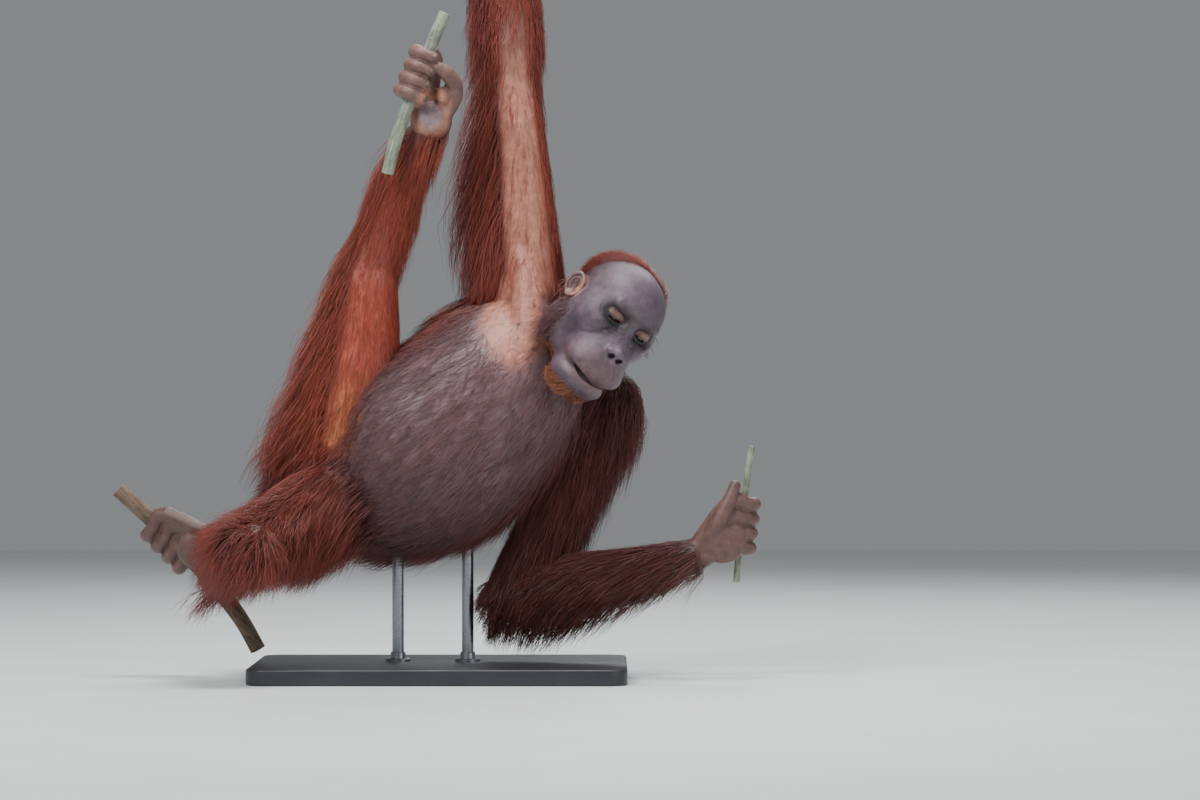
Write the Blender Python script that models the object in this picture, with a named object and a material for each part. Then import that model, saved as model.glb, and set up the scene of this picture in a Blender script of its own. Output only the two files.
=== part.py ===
"""Life-size display model of an orangutan that hangs by one arm, held by a plain stand.

Lengths are in metres. +Z is up and -Y faces the viewer, who sees the animal's chest.
The body is modelled whole from tubes and balls, fused, and then parted at its joints.
"""

import math
import random

import bmesh
import bpy
import numpy as np
from mathutils import Matrix, Vector
from mathutils.bvhtree import BVHTree

# Driving dimensions
GAP = 0.0003
BODY_VOXEL = 0.0030
HEAD_VOXEL = 0.0020
BODY_TRIANGLES = 4200
ARM_TRIANGLES = 1150
HEAD_TRIANGLES = 2700
SEED = 11

# Points closer than this are one point once forms are joined
SLIVER = 0.0001

# Joint centres of the skeleton
CROTCH = Vector((-0.200, 0.045, 0.322))
NECK_BASE = Vector((0.186, 0.040, 0.548))
SHOULDER_R = Vector((0.124, 0.020, 0.625))
ELBOW_R = Vector((0.098, 0.000, 0.951))
WRIST_R = Vector((0.085, 0.006, 1.256))
SHOULDER_L = Vector((0.236, 0.060, 0.440))
ELBOW_L = Vector((0.097, 0.030, 0.158))
WRIST_L = Vector((0.376, -0.020, 0.217))
HIP_R = Vector((-0.140, 0.005, 0.400))
KNEE_R = Vector((-0.112, -0.035, 0.656))
ANKLE_R = Vector((-0.034, -0.092, 0.842))
HIP_L = Vector((-0.146, 0.010, 0.310))
KNEE_L = Vector((-0.282, -0.195, 0.238))
ANKLE_L = Vector((-0.326, -0.012, 0.222))

# The head's place and how it is turned, rolled and bent down
HEAD_CENTRE = Vector((0.263, -0.072, 0.601))
HEAD_ROLL = math.radians(38)
HEAD_YAW = math.radians(29)
HEAD_PITCH = math.radians(12)

# Digits
FINGER_RADIUS = 0.0105
TOE_RADIUS = 0.0105
THUMB_RADIUS = 0.0115

# Eyes, nostrils and mouth, in the head's own axes
EYE_CENTRE = Vector((0.0265, -0.0640, -0.0130))
EYE_RADIUS = 0.0120
LID_RADIUS = 0.0145
EAR_CENTRE = Vector((0.0730, 0.0000, -0.0270))
EAR_FORWARD = math.radians(35)
EAR_LEAN = math.radians(8)

# The hair over the crown: its middle, its form at the skin, and its length along each axis
CROWN_CENTRE = Vector((0, 0.018, -0.002))
CROWN_RADII = Vector((0.064, 0.060, 0.062))
CROWN_HAIR = Vector((0.016, 0.024, 0.010))

# What the hands and feet hold: middle of the grip, direction, radius, reach each way
PERCHES = {
    "perch_overhead": (Vector((0.084, -0.034, 1.335)), Vector((1, 0, 0.06)), 0.019, 0.150, 0.150),
    "perch_vine": (Vector((-0.036, -0.138, 0.926)), Vector((0.36, 0, 0.93)), 0.0090, 0.150, 0.100),
    "perch_branch": (Vector((-0.414, 0.036, 0.236)), Vector((0.7071, 0, -0.7071)), 0.0115, 0.115, 0.205),
    "perch_twig": (Vector((0.442, -0.006, 0.262)), Vector((0.10, 0, 0.99)), 0.0050, 0.085, 0.120),
}
GREEN_PERCHES = ("perch_vine", "perch_twig")

# The stand
BASE_SIZE = Vector((0.560, 0.420, 0.024))
BASE_CENTRE = Vector((-0.010, 0.020, 0.0))
CORNER_RADIUS = 0.030
EDGE_BEVEL = 0.003
ROD_RADIUS = 0.009
RODS = [((-0.075, 0.040), 0.290), ((0.030, 0.040), 0.330)]
FLOOR_CLEARANCE = 0.014

# How far the solid forms reach from the skin (0) to the tips of the coat (1), under locks and plain
BODY_COAT = 0.45
HEAD_COAT = 0.5
PLAIN_COAT = 1.0
PLAIN_LENGTHS = ("thigh_l",)
# The neck takes the first of these with which its cuts close
NECK_COATS = (0.90, 0.85, 0.95, 0.80, 1.0)

# Share of a lock's length, and how far out from the core to the coat's tips it has risen
LOCK_RISE = ((0.0, -0.50), (0.28, 0.60), (0.64, 0.98), (1.0, 1.0))
LOCK_PROFILE = (0.75, 1.0, 0.80)
LOCK_THICKNESS = 0.010
# Share of the triangles that is kept once the slivers round the roots are collapsed
LOCK_THINNING = 0.82

# Nodes that carry locks, in the order in which they are covered
HAIRED = (
    "upper_arm_l", "shin_l", "forearm_l", "upper_arm_r", "forearm_r", "thigh_r", "shin_r", "torso",
    "head",
)

# Where locks stand on each length: first and last row, rows, first and last angle round it,
# locks in a row, how far each runs along it (against it if negative) and its width
LOCK_ROWS = {
    "torso": (0.20, 0.92, 5, -28, 208, 6, -0.21, 0.056),
    "upper_arm_r": (0.20, 1.00, 5, -35, 215, 5, -0.30, 0.046),
    "forearm_r": (0.16, 0.92, 5, -60, 240, 4, -0.30, 0.042),
    "thigh_r": (0.10, 0.98, 5, -60, 190, 5, -0.30, 0.048),
    "shin_r": (0.40, 0.98, 3, -40, 220, 4, -0.42, 0.040),
    "shin_l": (0.16, 0.80, 3, 150, 420, 5, 0.36, 0.044),
    "upper_arm_l": (0.20, 0.84, 4, -90, 130, 4, 0.26, 0.048),
    "forearm_l": (0.14, 0.86, 4, 20, 330, 5, -0.28, 0.046),
}


def srgb(text):
    """Linear colour of an sRGB hex value."""
    values = [int(text[i:i + 2], 16) / 255 for i in (0, 2, 4)]
    return [v / 12.92 if v <= 0.04045 else ((v + 0.055) / 1.055) ** 2.4 for v in values]


def material(name, colour, roughness, metallic=0.0):
    made = bpy.data.materials.new(name)
    made.use_nodes = True
    shader = made.node_tree.nodes["Principled BSDF"]
    shader.inputs["Base Color"].default_value = (*srgb(colour), 1.0)
    shader.inputs["Roughness"].default_value = roughness
    shader.inputs["Metallic"].default_value = metallic
    return made


def smooth_stations(stations, steps):
    """Points on a Catmull-Rom curve through the stations, which are tuples of numbers."""
    padded = [stations[0], *stations, stations[-1]]
    made = []
    for i in range(len(stations) - 1):
        four = padded[i:i + 4]
        for k in range(steps):
            t = k / steps
            made.append([
                0.5 * (2 * q + (r - p) * t + (2 * p - 5 * q + 4 * r - s) * t ** 2
                       + (3 * q - p - 3 * r + s) * t ** 3)
                for p, q, r, s in zip(*four)
            ])
    made.append(list(stations[-1]))
    return made


def ring_frames(centres, depth_axis):
    """Tangent, side and depth directions at each point of a path."""
    frames = []
    for i, centre in enumerate(centres):
        before, after = centres[max(i - 1, 0)], centres[min(i + 1, len(centres) - 1)]
        tangent = (after - before).normalized()
        side = tangent.cross(depth_axis).normalized()
        frames.append((tangent, side, side.cross(tangent)))
    return frames


def tube(bm, stations, depth_axis=Vector((0, 1, 0)), sides=16, steps=4, round_ends=True):
    """A closed tube through stations (x, y, z, half width, half depth)."""
    stations = smooth_stations(stations, steps)
    centres = [Vector(s[:3]) for s in stations]
    frames = ring_frames(centres, depth_axis)
    rings = [(c, f, s[3], s[4]) for c, f, s in zip(centres, frames, stations)]
    if round_ends:
        for end, sign in ((0, -1), (-1, 1)):
            centre, frame, wide, deep = rings[end]
            extra = []
            for angle in (math.radians(35), math.radians(65)):
                shift = frame[0] * (sign * min(wide, deep) * math.sin(angle))
                extra.append((centre + shift, frame, wide * math.cos(angle), deep * math.cos(angle)))
            rings = extra[::-1] + rings if end == 0 else rings + extra
    loops = []
    for centre, (_, side, depth), wide, deep in rings:
        loop = []
        for k in range(sides):
            angle = math.tau * k / sides
            around = side * (wide * math.cos(angle)) + depth * (deep * math.sin(angle))
            loop.append(bm.verts.new(centre + around))
        loops.append(loop)
    for first, second in zip(loops, loops[1:]):
        for k in range(sides):
            bm.faces.new((first[k], first[(k + 1) % sides], second[(k + 1) % sides], second[k]))
    bm.faces.new(loops[0][::-1])
    bm.faces.new(loops[-1])


def ball(bm, centre, radii, turn=None, fineness=3):
    """An ellipsoid."""
    made = bmesh.ops.create_icosphere(bm, subdivisions=fineness, radius=1.0)
    turned = turn.to_4x4() if turn else Matrix.Identity(4)
    place = Matrix.Translation(centre) @ turned @ Matrix.Diagonal((*radii, 1.0))
    bmesh.ops.transform(bm, matrix=place, verts=made["verts"])


def new_object(name, bm, finish=None):
    bmesh.ops.recalc_face_normals(bm, faces=bm.faces)
    mesh = bpy.data.meshes.new(name)
    bm.to_mesh(mesh)
    bm.free()
    made = bpy.data.objects.new(name, mesh)
    bpy.context.scene.collection.objects.link(made)
    if finish:
        mesh.materials.append(finish)
    return made


def apply_modifiers(obj):
    bpy.context.view_layer.update()
    evaluated = obj.evaluated_get(bpy.context.evaluated_depsgraph_get())
    mesh = bpy.data.meshes.new_from_object(evaluated)
    old = obj.data
    obj.modifiers.clear()
    obj.data = mesh
    bpy.data.meshes.remove(old)


def remove(obj):
    mesh = obj.data
    bpy.data.objects.remove(obj)
    bpy.data.meshes.remove(mesh)


def fuse(obj, voxel, smoothing):
    """Turns overlapping closed forms into one skin and rounds where they meet."""
    remesh = obj.modifiers.new("fuse", "REMESH")
    remesh.mode = "VOXEL"
    remesh.voxel_size = voxel
    rounding = obj.modifiers.new("round", "SMOOTH")
    rounding.factor = 0.5
    rounding.iterations = smoothing
    apply_modifiers(obj)


def thin_out(obj, triangles):
    """Decimates a mesh to about this many triangles."""
    count = triangle_count(obj)
    if count > triangles:
        modifier = obj.modifiers.new("thin", "DECIMATE")
        modifier.ratio = triangles / count
        modifier.use_collapse_triangulate = True
        apply_modifiers(obj)


def triangle_count(obj):
    return sum(len(p.vertices) - 2 for p in obj.data.polygons)


def is_closed(obj):
    """Whether every edge of a mesh joins exactly two faces, once it is split into triangles."""
    bm = bmesh.new()
    bm.from_mesh(obj.data)
    bmesh.ops.triangulate(bm, faces=bm.faces)
    closed = all(edge.is_manifold for edge in bm.edges)
    bm.free()
    return closed


def boolean(obj, operation, **operand):
    modifier = obj.modifiers.new("join", "BOOLEAN")
    modifier.operation = operation
    modifier.solver = "EXACT"
    for setting, value in operand.items():
        setattr(modifier, setting, value)
    apply_modifiers(obj)


def take_away(obj, other):
    """Cuts one closed mesh out of another."""
    boolean(obj, "DIFFERENCE", object=other)


def if_closed(obj, change):
    """Makes a change to a mesh and takes it back where it leaves the mesh open or loses most of it."""
    before = obj.data.copy()
    count = triangle_count(obj)
    change(obj)
    if is_closed(obj) and triangle_count(obj) > count / 2:
        bpy.data.meshes.remove(before)
        return True
    obj.data = before
    return False


def inflated(obj, distance):
    """A copy of a closed mesh whose faces stand this far outside it."""
    made = bpy.data.objects.new(obj.name + "_grown", obj.data.copy())
    bpy.context.scene.collection.objects.link(made)
    normals = [v.normal.copy() for v in made.data.vertices]
    for vertex, normal in zip(made.data.vertices, normals):
        vertex.co += normal * distance
    return made


def islands(bm):
    """The loose pieces of a mesh, as lists of vertices in a fixed order."""
    seen, found = set(), []
    for first in bm.verts:
        if first in seen:
            continue
        seen.add(first)
        stack = [first]
        piece = []
        while stack:
            vertex = stack.pop()
            piece.append(vertex)
            for edge in vertex.link_edges:
                other = edge.other_vert(vertex)
                if other not in seen:
                    seen.add(other)
                    stack.append(other)
        found.append(piece)
    return found


def keep_one(bm, near=None):
    """Keeps the largest loose piece, or the one that passes nearest to a point."""
    pieces = islands(bm)
    if near is None:
        best = max(pieces, key=len)
    else:
        best = min(pieces, key=lambda piece: min((v.co - near).length for v in piece))
    for piece in pieces:
        if piece is not best:
            bmesh.ops.delete(bm, geom=piece, context="VERTS")


def largest_only(obj):
    bm = bmesh.new()
    bm.from_mesh(obj.data)
    keep_one(bm)
    bm.to_mesh(obj.data)
    bm.free()


def head_place():
    """The head's own axes: +X the animal's left, -Y its gaze, +Z its crown."""
    turn = (Matrix.Rotation(HEAD_ROLL, 4, "Y") @ Matrix.Rotation(HEAD_YAW, 4, "Z")
            @ Matrix.Rotation(HEAD_PITCH, 4, "X"))
    return Matrix.Translation(HEAD_CENTRE) @ turn


def station(point, wide, deep=None):
    return (*point, wide, deep if deep is not None else wide)


def blend(bare, coated, share):
    """Stations part of the way from the skin out to the tips of the coat."""
    return [
        tuple(a + (b - a) * share for a, b in zip(first, second))
        for first, second in zip(bare, coated)
    ]


def torso_stations():
    """Pelvis, belly, ribs and chest along the spine: the skin, and the tips of its coat."""
    bare = [
        station((-0.205, 0.050, 0.305), 0.055, 0.050),
        station((-0.150, 0.045, 0.333), 0.098, 0.084),
        station((-0.085, 0.020, 0.350), 0.126, 0.112),
        station((-0.020, 0.000, 0.384), 0.142, 0.130),
        station((0.060, 0.012, 0.446), 0.134, 0.116),
        station((0.122, 0.034, 0.508), 0.116, 0.096),
        station((0.162, 0.046, 0.537), 0.084, 0.074),
    ]
    coated = [
        station((-0.215, 0.058, 0.298), 0.078, 0.068),
        station((-0.155, 0.055, 0.326), 0.124, 0.104),
        station((-0.085, 0.032, 0.343), 0.150, 0.130),
        station((-0.020, 0.014, 0.376), 0.164, 0.146),
        station((0.060, 0.026, 0.443), 0.156, 0.132),
        station((0.120, 0.048, 0.510), 0.136, 0.114),
        station((0.160, 0.060, 0.540), 0.100, 0.092),
    ]
    return bare, coated


def neck_stations():
    bare = [
        station((0.140, 0.052, 0.515), 0.066, 0.062),
        station((0.186, 0.036, 0.548), 0.060, 0.058),
        station((0.222, -0.004, 0.578), 0.052, 0.052),
        station((0.250, -0.036, 0.600), 0.044, 0.044),
    ]
    coated = [
        station((0.140, 0.062, 0.522), 0.086, 0.080),
        station((0.186, 0.050, 0.556), 0.082, 0.074),
        station((0.222, 0.014, 0.588), 0.072, 0.066),
        station((0.250, -0.020, 0.608), 0.056, 0.054),
    ]
    return bare, coated


def muscles_form(bm):
    """Shoulders, the folds before and behind the right armpit, and the buttocks."""
    ball(bm, SHOULDER_R + Vector((-0.002, 0.006, -0.010)), (0.054, 0.052, 0.062))
    tube(bm, [
        station((0.165, 0.062, 0.530), 0.046),
        station((0.150, 0.052, 0.590), 0.046),
        station(SHOULDER_R, 0.046),
    ])
    tube(bm, [
        station((0.175, 0.062, 0.530), 0.046),
        station((0.215, 0.066, 0.480), 0.048),
        station(SHOULDER_L, 0.048),
    ])
    tube(bm, [
        station((0.115, -0.046, 0.478), 0.050, 0.026),
        station((0.128, -0.034, 0.560), 0.034, 0.024),
        station((0.118, -0.016, 0.650), 0.022, 0.020),
        station((0.108, -0.006, 0.720), 0.014, 0.014),
    ])
    tube(bm, [
        station((0.020, 0.050, 0.500), 0.050, 0.040),
        station((0.064, 0.052, 0.585), 0.036, 0.034),
        station((0.098, 0.040, 0.665), 0.026, 0.026),
        station((0.100, 0.028, 0.740), 0.018, 0.018),
    ])
    ball(bm, Vector((-0.160, 0.060, 0.372)), (0.072, 0.060, 0.068))
    ball(bm, Vector((-0.165, 0.055, 0.312)), (0.070, 0.062, 0.062))


def upper_arm_stations(shoulder, elbow, hand):
    """The skin of an upper arm, from inside the shoulder to just past the elbow."""
    run, lower = elbow - shoulder, hand - elbow
    return [
        station(shoulder, 0.046),
        station(shoulder + run * 0.30, 0.042, 0.044),
        station(shoulder + run * 0.65, 0.036, 0.038),
        station(elbow - run * 0.06, 0.034, 0.033),
        station(elbow + lower * 0.05, 0.035, 0.033),
    ]


def forearm_stations(elbow, wrist):
    lower = wrist - elbow
    return [
        station(elbow - lower * 0.04, 0.033, 0.032),
        station(elbow + lower * 0.14, 0.040, 0.035),
        station(elbow + lower * 0.38, 0.037, 0.032),
        station(elbow + lower * 0.75, 0.028, 0.023),
        station(wrist, 0.027, 0.021),
    ]


def thigh_stations(hip, knee, ankle):
    thigh, shin = knee - hip, ankle - knee
    return [
        station(hip - thigh * 0.05, 0.066),
        station(hip + thigh * 0.30, 0.058, 0.060),
        station(hip + thigh * 0.68, 0.046, 0.047),
        station(knee, 0.037, 0.038),
        station(knee + shin * 0.08, 0.035),
    ]


def shin_stations(knee, ankle):
    shin = ankle - knee
    return [
        station(knee - shin * 0.08, 0.035, 0.036),
        station(knee + shin * 0.25, 0.035, 0.038),
        station(knee + shin * 0.62, 0.029, 0.031),
        station(ankle, 0.025, 0.026),
    ]


def limb_tubes():
    """Each limb length: its skin, the tips of its coat, and which way its depth runs."""
    front, up = Vector((0, 1, 0)), Vector((0, 0, 1))
    return {
        "upper_arm_r": (upper_arm_stations(SHOULDER_R, ELBOW_R, WRIST_R), [
            station((0.085, 0.040, 0.620), 0.074, 0.060),
            station((0.066, 0.034, 0.710), 0.076, 0.050),
            station((0.073, 0.030, 0.810), 0.078, 0.048),
            station((0.080, 0.024, 0.910), 0.070, 0.045),
            station((0.088, 0.020, 0.965), 0.060, 0.042),
        ], front),
        "forearm_r": (forearm_stations(ELBOW_R, WRIST_R), [
            station((0.084, 0.018, 0.935), 0.060, 0.042),
            station((0.086, 0.018, 0.995), 0.060, 0.046),
            station((0.084, 0.018, 1.065), 0.057, 0.044),
            station((0.084, 0.012, 1.170), 0.044, 0.034),
            station((0.085, 0.007, 1.252), 0.029, 0.023),
        ], front),
        "upper_arm_l": (upper_arm_stations(SHOULDER_L, ELBOW_L, WRIST_L), [
            station((0.236, 0.070, 0.440), 0.070, 0.070),
            station((0.206, 0.066, 0.352), 0.064, 0.066),
            station((0.165, 0.052, 0.262), 0.060, 0.060),
            station((0.112, 0.040, 0.160), 0.058, 0.056),
            station((0.104, 0.036, 0.128), 0.056, 0.052),
        ], front),
        "forearm_l": (forearm_stations(ELBOW_L, WRIST_L), [
            station((0.098, 0.034, 0.138), 0.062, 0.050),
            station((0.140, 0.026, 0.148), 0.066, 0.052),
            station((0.196, 0.014, 0.162), 0.059, 0.048),
            station((0.300, -0.006, 0.192), 0.040, 0.034),
            station((0.372, -0.019, 0.214), 0.028, 0.024),
        ], front),
        "thigh_r": (thigh_stations(HIP_R, KNEE_R, ANKLE_R), [
            station((-0.178, 0.016, 0.392), 0.108, 0.084),
            station((-0.158, 0.006, 0.486), 0.090, 0.074),
            station((-0.143, -0.010, 0.580), 0.070, 0.060),
            station((-0.121, -0.028, 0.662), 0.054, 0.052),
            station((-0.112, -0.036, 0.680), 0.050, 0.048),
        ], front),
        "shin_r": (shin_stations(KNEE_R, ANKLE_R), [
            station((-0.120, -0.030, 0.640), 0.052, 0.050),
            station((-0.092, -0.042, 0.700), 0.048, 0.048),
            station((-0.072, -0.062, 0.775), 0.046, 0.042),
            station((-0.046, -0.086, 0.836), 0.036, 0.032),
        ], front),
        "thigh_l": (thigh_stations(HIP_L, KNEE_L, ANKLE_L), [
            station((-0.146, 0.014, 0.296), 0.082, 0.082),
            station((-0.194, -0.052, 0.270), 0.076, 0.078),
            station((-0.244, -0.130, 0.238), 0.064, 0.072),
            station((-0.284, -0.194, 0.214), 0.052, 0.062),
            station((-0.290, -0.184, 0.208), 0.050, 0.060),
        ], up),
        "shin_l": (shin_stations(KNEE_L, ANKLE_L), [
            station((-0.282, -0.206, 0.216), 0.050, 0.060),
            station((-0.304, -0.150, 0.204), 0.054, 0.066),
            station((-0.326, -0.078, 0.196), 0.052, 0.062),
            station((-0.346, -0.010, 0.200), 0.042, 0.044),
        ], up),
    }


def grip_axes(perch, palm_side):
    """Middle of the grip, then the perch's, the palm's and the digits' directions."""
    centre, along, _, _, _ = PERCHES[perch]
    along = along.normalized()
    palm = (palm_side - along * palm_side.dot(along)).normalized()
    return centre, along, palm, along.cross(palm)


def digits(bm, perch, palm_side, root, offsets, sweep, radius, lead):
    """Four digits that curl round a perch, each with its bone in the palm."""
    centre, along, palm, onward = grip_axes(perch, palm_side)
    orbit = PERCHES[perch][2] + radius - 0.0008
    for offset, turn in zip(offsets, sweep):
        base = centre + along * offset
        stations = [
            station(root + along * (offset * 0.42) - onward * 0.004, radius * 1.25),
            station(base + palm * (orbit + 0.006) - onward * lead, radius * 1.22),
        ]
        steps = 7
        for k in range(steps + 1):
            angle = math.radians(5 + (turn - 5) * k / steps)
            # Knuckles stand a little proud of the bones between them
            knuckle = 1.0 + 0.05 * math.cos(k * math.tau / 2.4)
            taper = 1.08 - 0.30 * (k / steps) ** 1.5
            point = base + (palm * math.cos(angle) + onward * math.sin(angle)) * orbit
            stations.append(station(point, radius * taper * knuckle))
        tube(bm, stations, depth_axis=along, sides=12, steps=3)


def hand_r_form(bm):
    digits(bm, "perch_overhead", Vector((0, 1, 0)), WRIST_R, (-0.034, -0.0115, 0.0115, 0.034),
           (218, 232, 232, 214), FINGER_RADIUS, 0.026)
    ball(bm, Vector((0.084, 0.000, 1.292)), (0.038, 0.014, 0.036))
    tube(bm, [
        station((0.092, 0.002, 1.262), 0.015),
        station((0.116, -0.010, 1.288), 0.0135),
        station((0.132, -0.026, 1.306), THUMB_RADIUS),
        station((0.138, -0.044, 1.312), 0.0090),
    ], sides=12)


def hand_l_form(bm):
    digits(bm, "perch_twig", Vector((0, -1, 0)), WRIST_L, (-0.033, -0.011, 0.011, 0.033),
           (262, 280, 280, 262), FINGER_RADIUS, 0.022)
    ball(bm, Vector((0.412, -0.028, 0.240)), (0.036, 0.014, 0.034))
    tube(bm, [
        station((0.388, -0.024, 0.232), 0.014),
        station((0.406, -0.036, 0.268), 0.0130),
        station((0.421, -0.036, 0.296), 0.0110),
        station((0.431, -0.032, 0.322), 0.0085),
    ], sides=12)


def foot_r_form(bm):
    """The right foot, its sole and heel towards the viewer, toes over the vine."""
    root = Vector((-0.034, -0.100, 0.872))
    digits(bm, "perch_vine", Vector((0, 1, 0)), root, (-0.029, -0.0085, 0.0120, 0.0320),
           (236, 226, 222, 212), TOE_RADIUS, 0.010)
    ball(bm, Vector((-0.020, -0.106, 0.863)), (0.031, 0.027, 0.031))
    ball(bm, Vector((-0.034, -0.104, 0.893)), (0.027, 0.015, 0.032))
    # Short big toe on the far side, closing towards the others
    tube(bm, [
        station((-0.004, -0.106, 0.872), 0.015),
        station((0.012, -0.114, 0.894), 0.0135),
        station((0.015, -0.128, 0.915), 0.0120),
        station((0.004, -0.142, 0.930), 0.0110),
        station((-0.008, -0.148, 0.938), 0.0085),
    ], sides=12)
    ball(bm, Vector((-0.002, -0.126, 0.900)), (0.0105, 0.0105, 0.0125))


def foot_l_form(bm):
    """The left foot, its back towards the viewer, toes over the branch behind it."""
    digits(bm, "perch_branch", Vector((0, -1, 0)), ANKLE_L, (-0.034, -0.0115, 0.0115, 0.034),
           (214, 232, 236, 220), TOE_RADIUS, 0.024)
    ball(bm, Vector((-0.366, -0.002, 0.228)), (0.040, 0.016, 0.034))
    ball(bm, Vector((-0.308, -0.002, 0.212)), (0.026, 0.030, 0.026))
    tube(bm, [
        station((-0.322, 0.002, 0.200), 0.014),
        station((-0.344, 0.018, 0.178), 0.0125),
        station((-0.362, 0.040, 0.176), 0.0115),
        station((-0.374, 0.058, 0.190), 0.0085),
    ], sides=12)


def mirrored(centre):
    return [Vector((side * centre[0], centre[1], centre[2])) for side in (-1, 1)]


def head_shapes(share):
    """Rounded forms of the head, each (centre, radii, tilt about X, blend, added or taken)."""
    shapes = [
        # Skull and forehead
        (Vector((0, -0.004, -0.006)), (0.066, 0.076, 0.062), 0.0, 0.0, 1),
        (Vector((0, -0.036, 0.004)), (0.050, 0.043, 0.042), 0.0, 0.020, 1),
        # Throat, jaw corners and cheeks
        (Vector((0, -0.018, -0.084)), (0.048, 0.052, 0.048), 0.0, 0.030, 1),
    ]
    for centre in mirrored((0.044, -0.012, -0.070)):
        shapes.append((centre, (0.026, 0.036, 0.046), 0.3, 0.030, 1))
    for centre in mirrored((0.043, -0.042, -0.034)):
        shapes.append((centre, (0.021, 0.028, 0.024), 0.0, 0.022, 1))
    # Muzzle with its tall upper lip, the lower lip and the chin
    shapes += [
        (Vector((0, -0.070, -0.070)), (0.042, 0.041, 0.036), 0.0, 0.024, 1),
        (Vector((0, -0.078, -0.090)), (0.050, 0.039, 0.026), 0.0, 0.016, 1),
        (Vector((0, -0.070, -0.121)), (0.043, 0.040, 0.021), 0.0, 0.007, 1),
        (Vector((0, -0.054, -0.126)), (0.037, 0.034, 0.027), 0.0, 0.020, 1),
    ]
    # Sockets of the eyes
    for centre in mirrored((0.028, -0.090, -0.014)):
        shapes.append((centre, (0.019, 0.023, 0.016), 0.0, 0.010, -1))
    # Low bridge and small tip of the nose, with a rim round each nostril
    shapes += [
        (Vector((0, -0.080, -0.030)), (0.0085, 0.012, 0.024), -0.75, 0.014, 1),
        (Vector((0, -0.1060, -0.0490)), (0.0085, 0.0080, 0.0075), 0.0, 0.006, 1),
    ]
    for centre in mirrored((0.0105, -0.1045, -0.0520)):
        shapes.append((centre, (0.0085, 0.0085, 0.0062), 0.0, 0.005, 1))
    # Brow, the bag under each eye, and the eyelids over the eyeballs
    for centre in mirrored((0.024, -0.072, 0.006)):
        shapes.append((centre, (0.018, 0.009, 0.0060), 0.4, 0.014, 1))
    for centre in mirrored((0.031, -0.070, -0.031)):
        shapes.append((centre, (0.016, 0.010, 0.0060), -0.3, 0.010, 1))
    for centre in mirrored(EYE_CENTRE):
        shapes.append((centre, (LID_RADIUS * 1.04, LID_RADIUS, LID_RADIUS * 0.92), 0.0, 0.004, 1))
    if share > 0:
        # Hair over the crown and nape, and whiskers from the ears down to the chin
        grow = CROWN_HAIR * share
        shapes.append((CROWN_CENTRE, CROWN_RADII + grow, 0.0, 0.006, 1))
        for centre in mirrored((0.042, -0.004, -0.084)):
            shapes.append((centre, Vector((0.024, 0.034, 0.046)) + grow * 0.5, 0.50, 0.014, 1))
        chin_hair = Vector((0.036, 0.036, 0.020)) + grow * 0.3
        shapes.append((Vector((0, -0.036, -0.130)), chin_hair, 0.0, 0.016, 1))
    return shapes


def shape_distance(points, shape):
    """Distance of points to one tilted ellipsoid, close to true near its surface."""
    centre, radii, tilt, _, _ = shape
    local = (points - np.array(centre)) @ np.array(Matrix.Rotation(tilt, 3, "X"))
    radii = np.array(radii)
    near = np.linalg.norm(local / radii, axis=1)
    steep = np.linalg.norm(local / radii ** 2, axis=1)
    return near * (near - 1) / np.maximum(steep, 1e-9)


def head_distance(points, shapes):
    """Distance to the head, its forms run softly into each other."""
    total = shape_distance(points, shapes[0])
    for shape in shapes[1:]:
        other = shape_distance(points, shape)
        blend, sign = shape[3], shape[4]
        if sign < 0:
            total, other = -total, other
        mixed = np.clip(0.5 + 0.5 * (other - total) / blend, 0.0, 1.0)
        total = other * (1 - mixed) + total * mixed - blend * mixed * (1 - mixed)
        if sign < 0:
            total = -total
    return total


def settle(mesh, distance):
    """Moves every vertex of a mesh onto the surface where the distance is nought."""
    points = np.empty(len(mesh.vertices) * 3)
    mesh.vertices.foreach_get("co", points)
    points = points.reshape(-1, 3)
    step = 0.0002
    for _ in range(12):
        here = distance(points)
        slope = np.stack([
            (distance(points + np.eye(3)[i] * step) - here) / step for i in range(3)
        ], axis=1)
        size = np.maximum((slope ** 2).sum(axis=1), 0.25)
        move = -slope * (here / size)[:, None]
        far = np.linalg.norm(move, axis=1)
        move *= np.minimum(1.0, 0.004 / np.maximum(far, 1e-9))[:, None]
        points += move
    mesh.vertices.foreach_set("co", points.ravel())
    mesh.update()


def head_surface(share, voxel):
    """The head as a fine closed skin in its own axes, before any opening is cut."""
    shapes = head_shapes(share)
    bm = bmesh.new()
    for centre, radii, tilt, _, sign in shapes:
        if sign > 0:
            ball(bm, centre, radii, Matrix.Rotation(tilt, 3, "X"))
    head = new_object("head", bm)
    fuse(head, voxel, 6)
    settle(head.data, lambda points: head_distance(points, shapes))
    return head


def build_head(coat_share):
    """The whole head, turned into place, with its mouth, nostrils and eyelids cut."""
    head = head_surface(coat_share, HEAD_VOXEL)
    thin_out(head, HEAD_TRIANGLES)
    for form in (mouth_cutter, nostril_cutters, eyeball_cutters, eyelid_cutters):
        bm = bmesh.new()
        form(bm)
        cutter = new_object("cutter", bm)
        take_away(head, cutter)
        remove(cutter)
    largest_only(head)
    head.data.transform(head_place())
    return head


def mouth_cutter(bm):
    """A slit between the lips, widest on the animal's right where the mouth is open."""
    tube(bm, [
        station((-0.037, -0.091, -0.103), 0.0008, 0.010),
        station((-0.026, -0.101, -0.106), 0.0022, 0.012),
        station((-0.010, -0.108, -0.109), 0.0030, 0.013),
        station((0.006, -0.108, -0.110), 0.0020, 0.013),
        station((0.022, -0.102, -0.108), 0.0010, 0.011),
        station((0.037, -0.091, -0.104), 0.0007, 0.010),
    ], sides=8, steps=2, round_ends=False)


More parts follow.
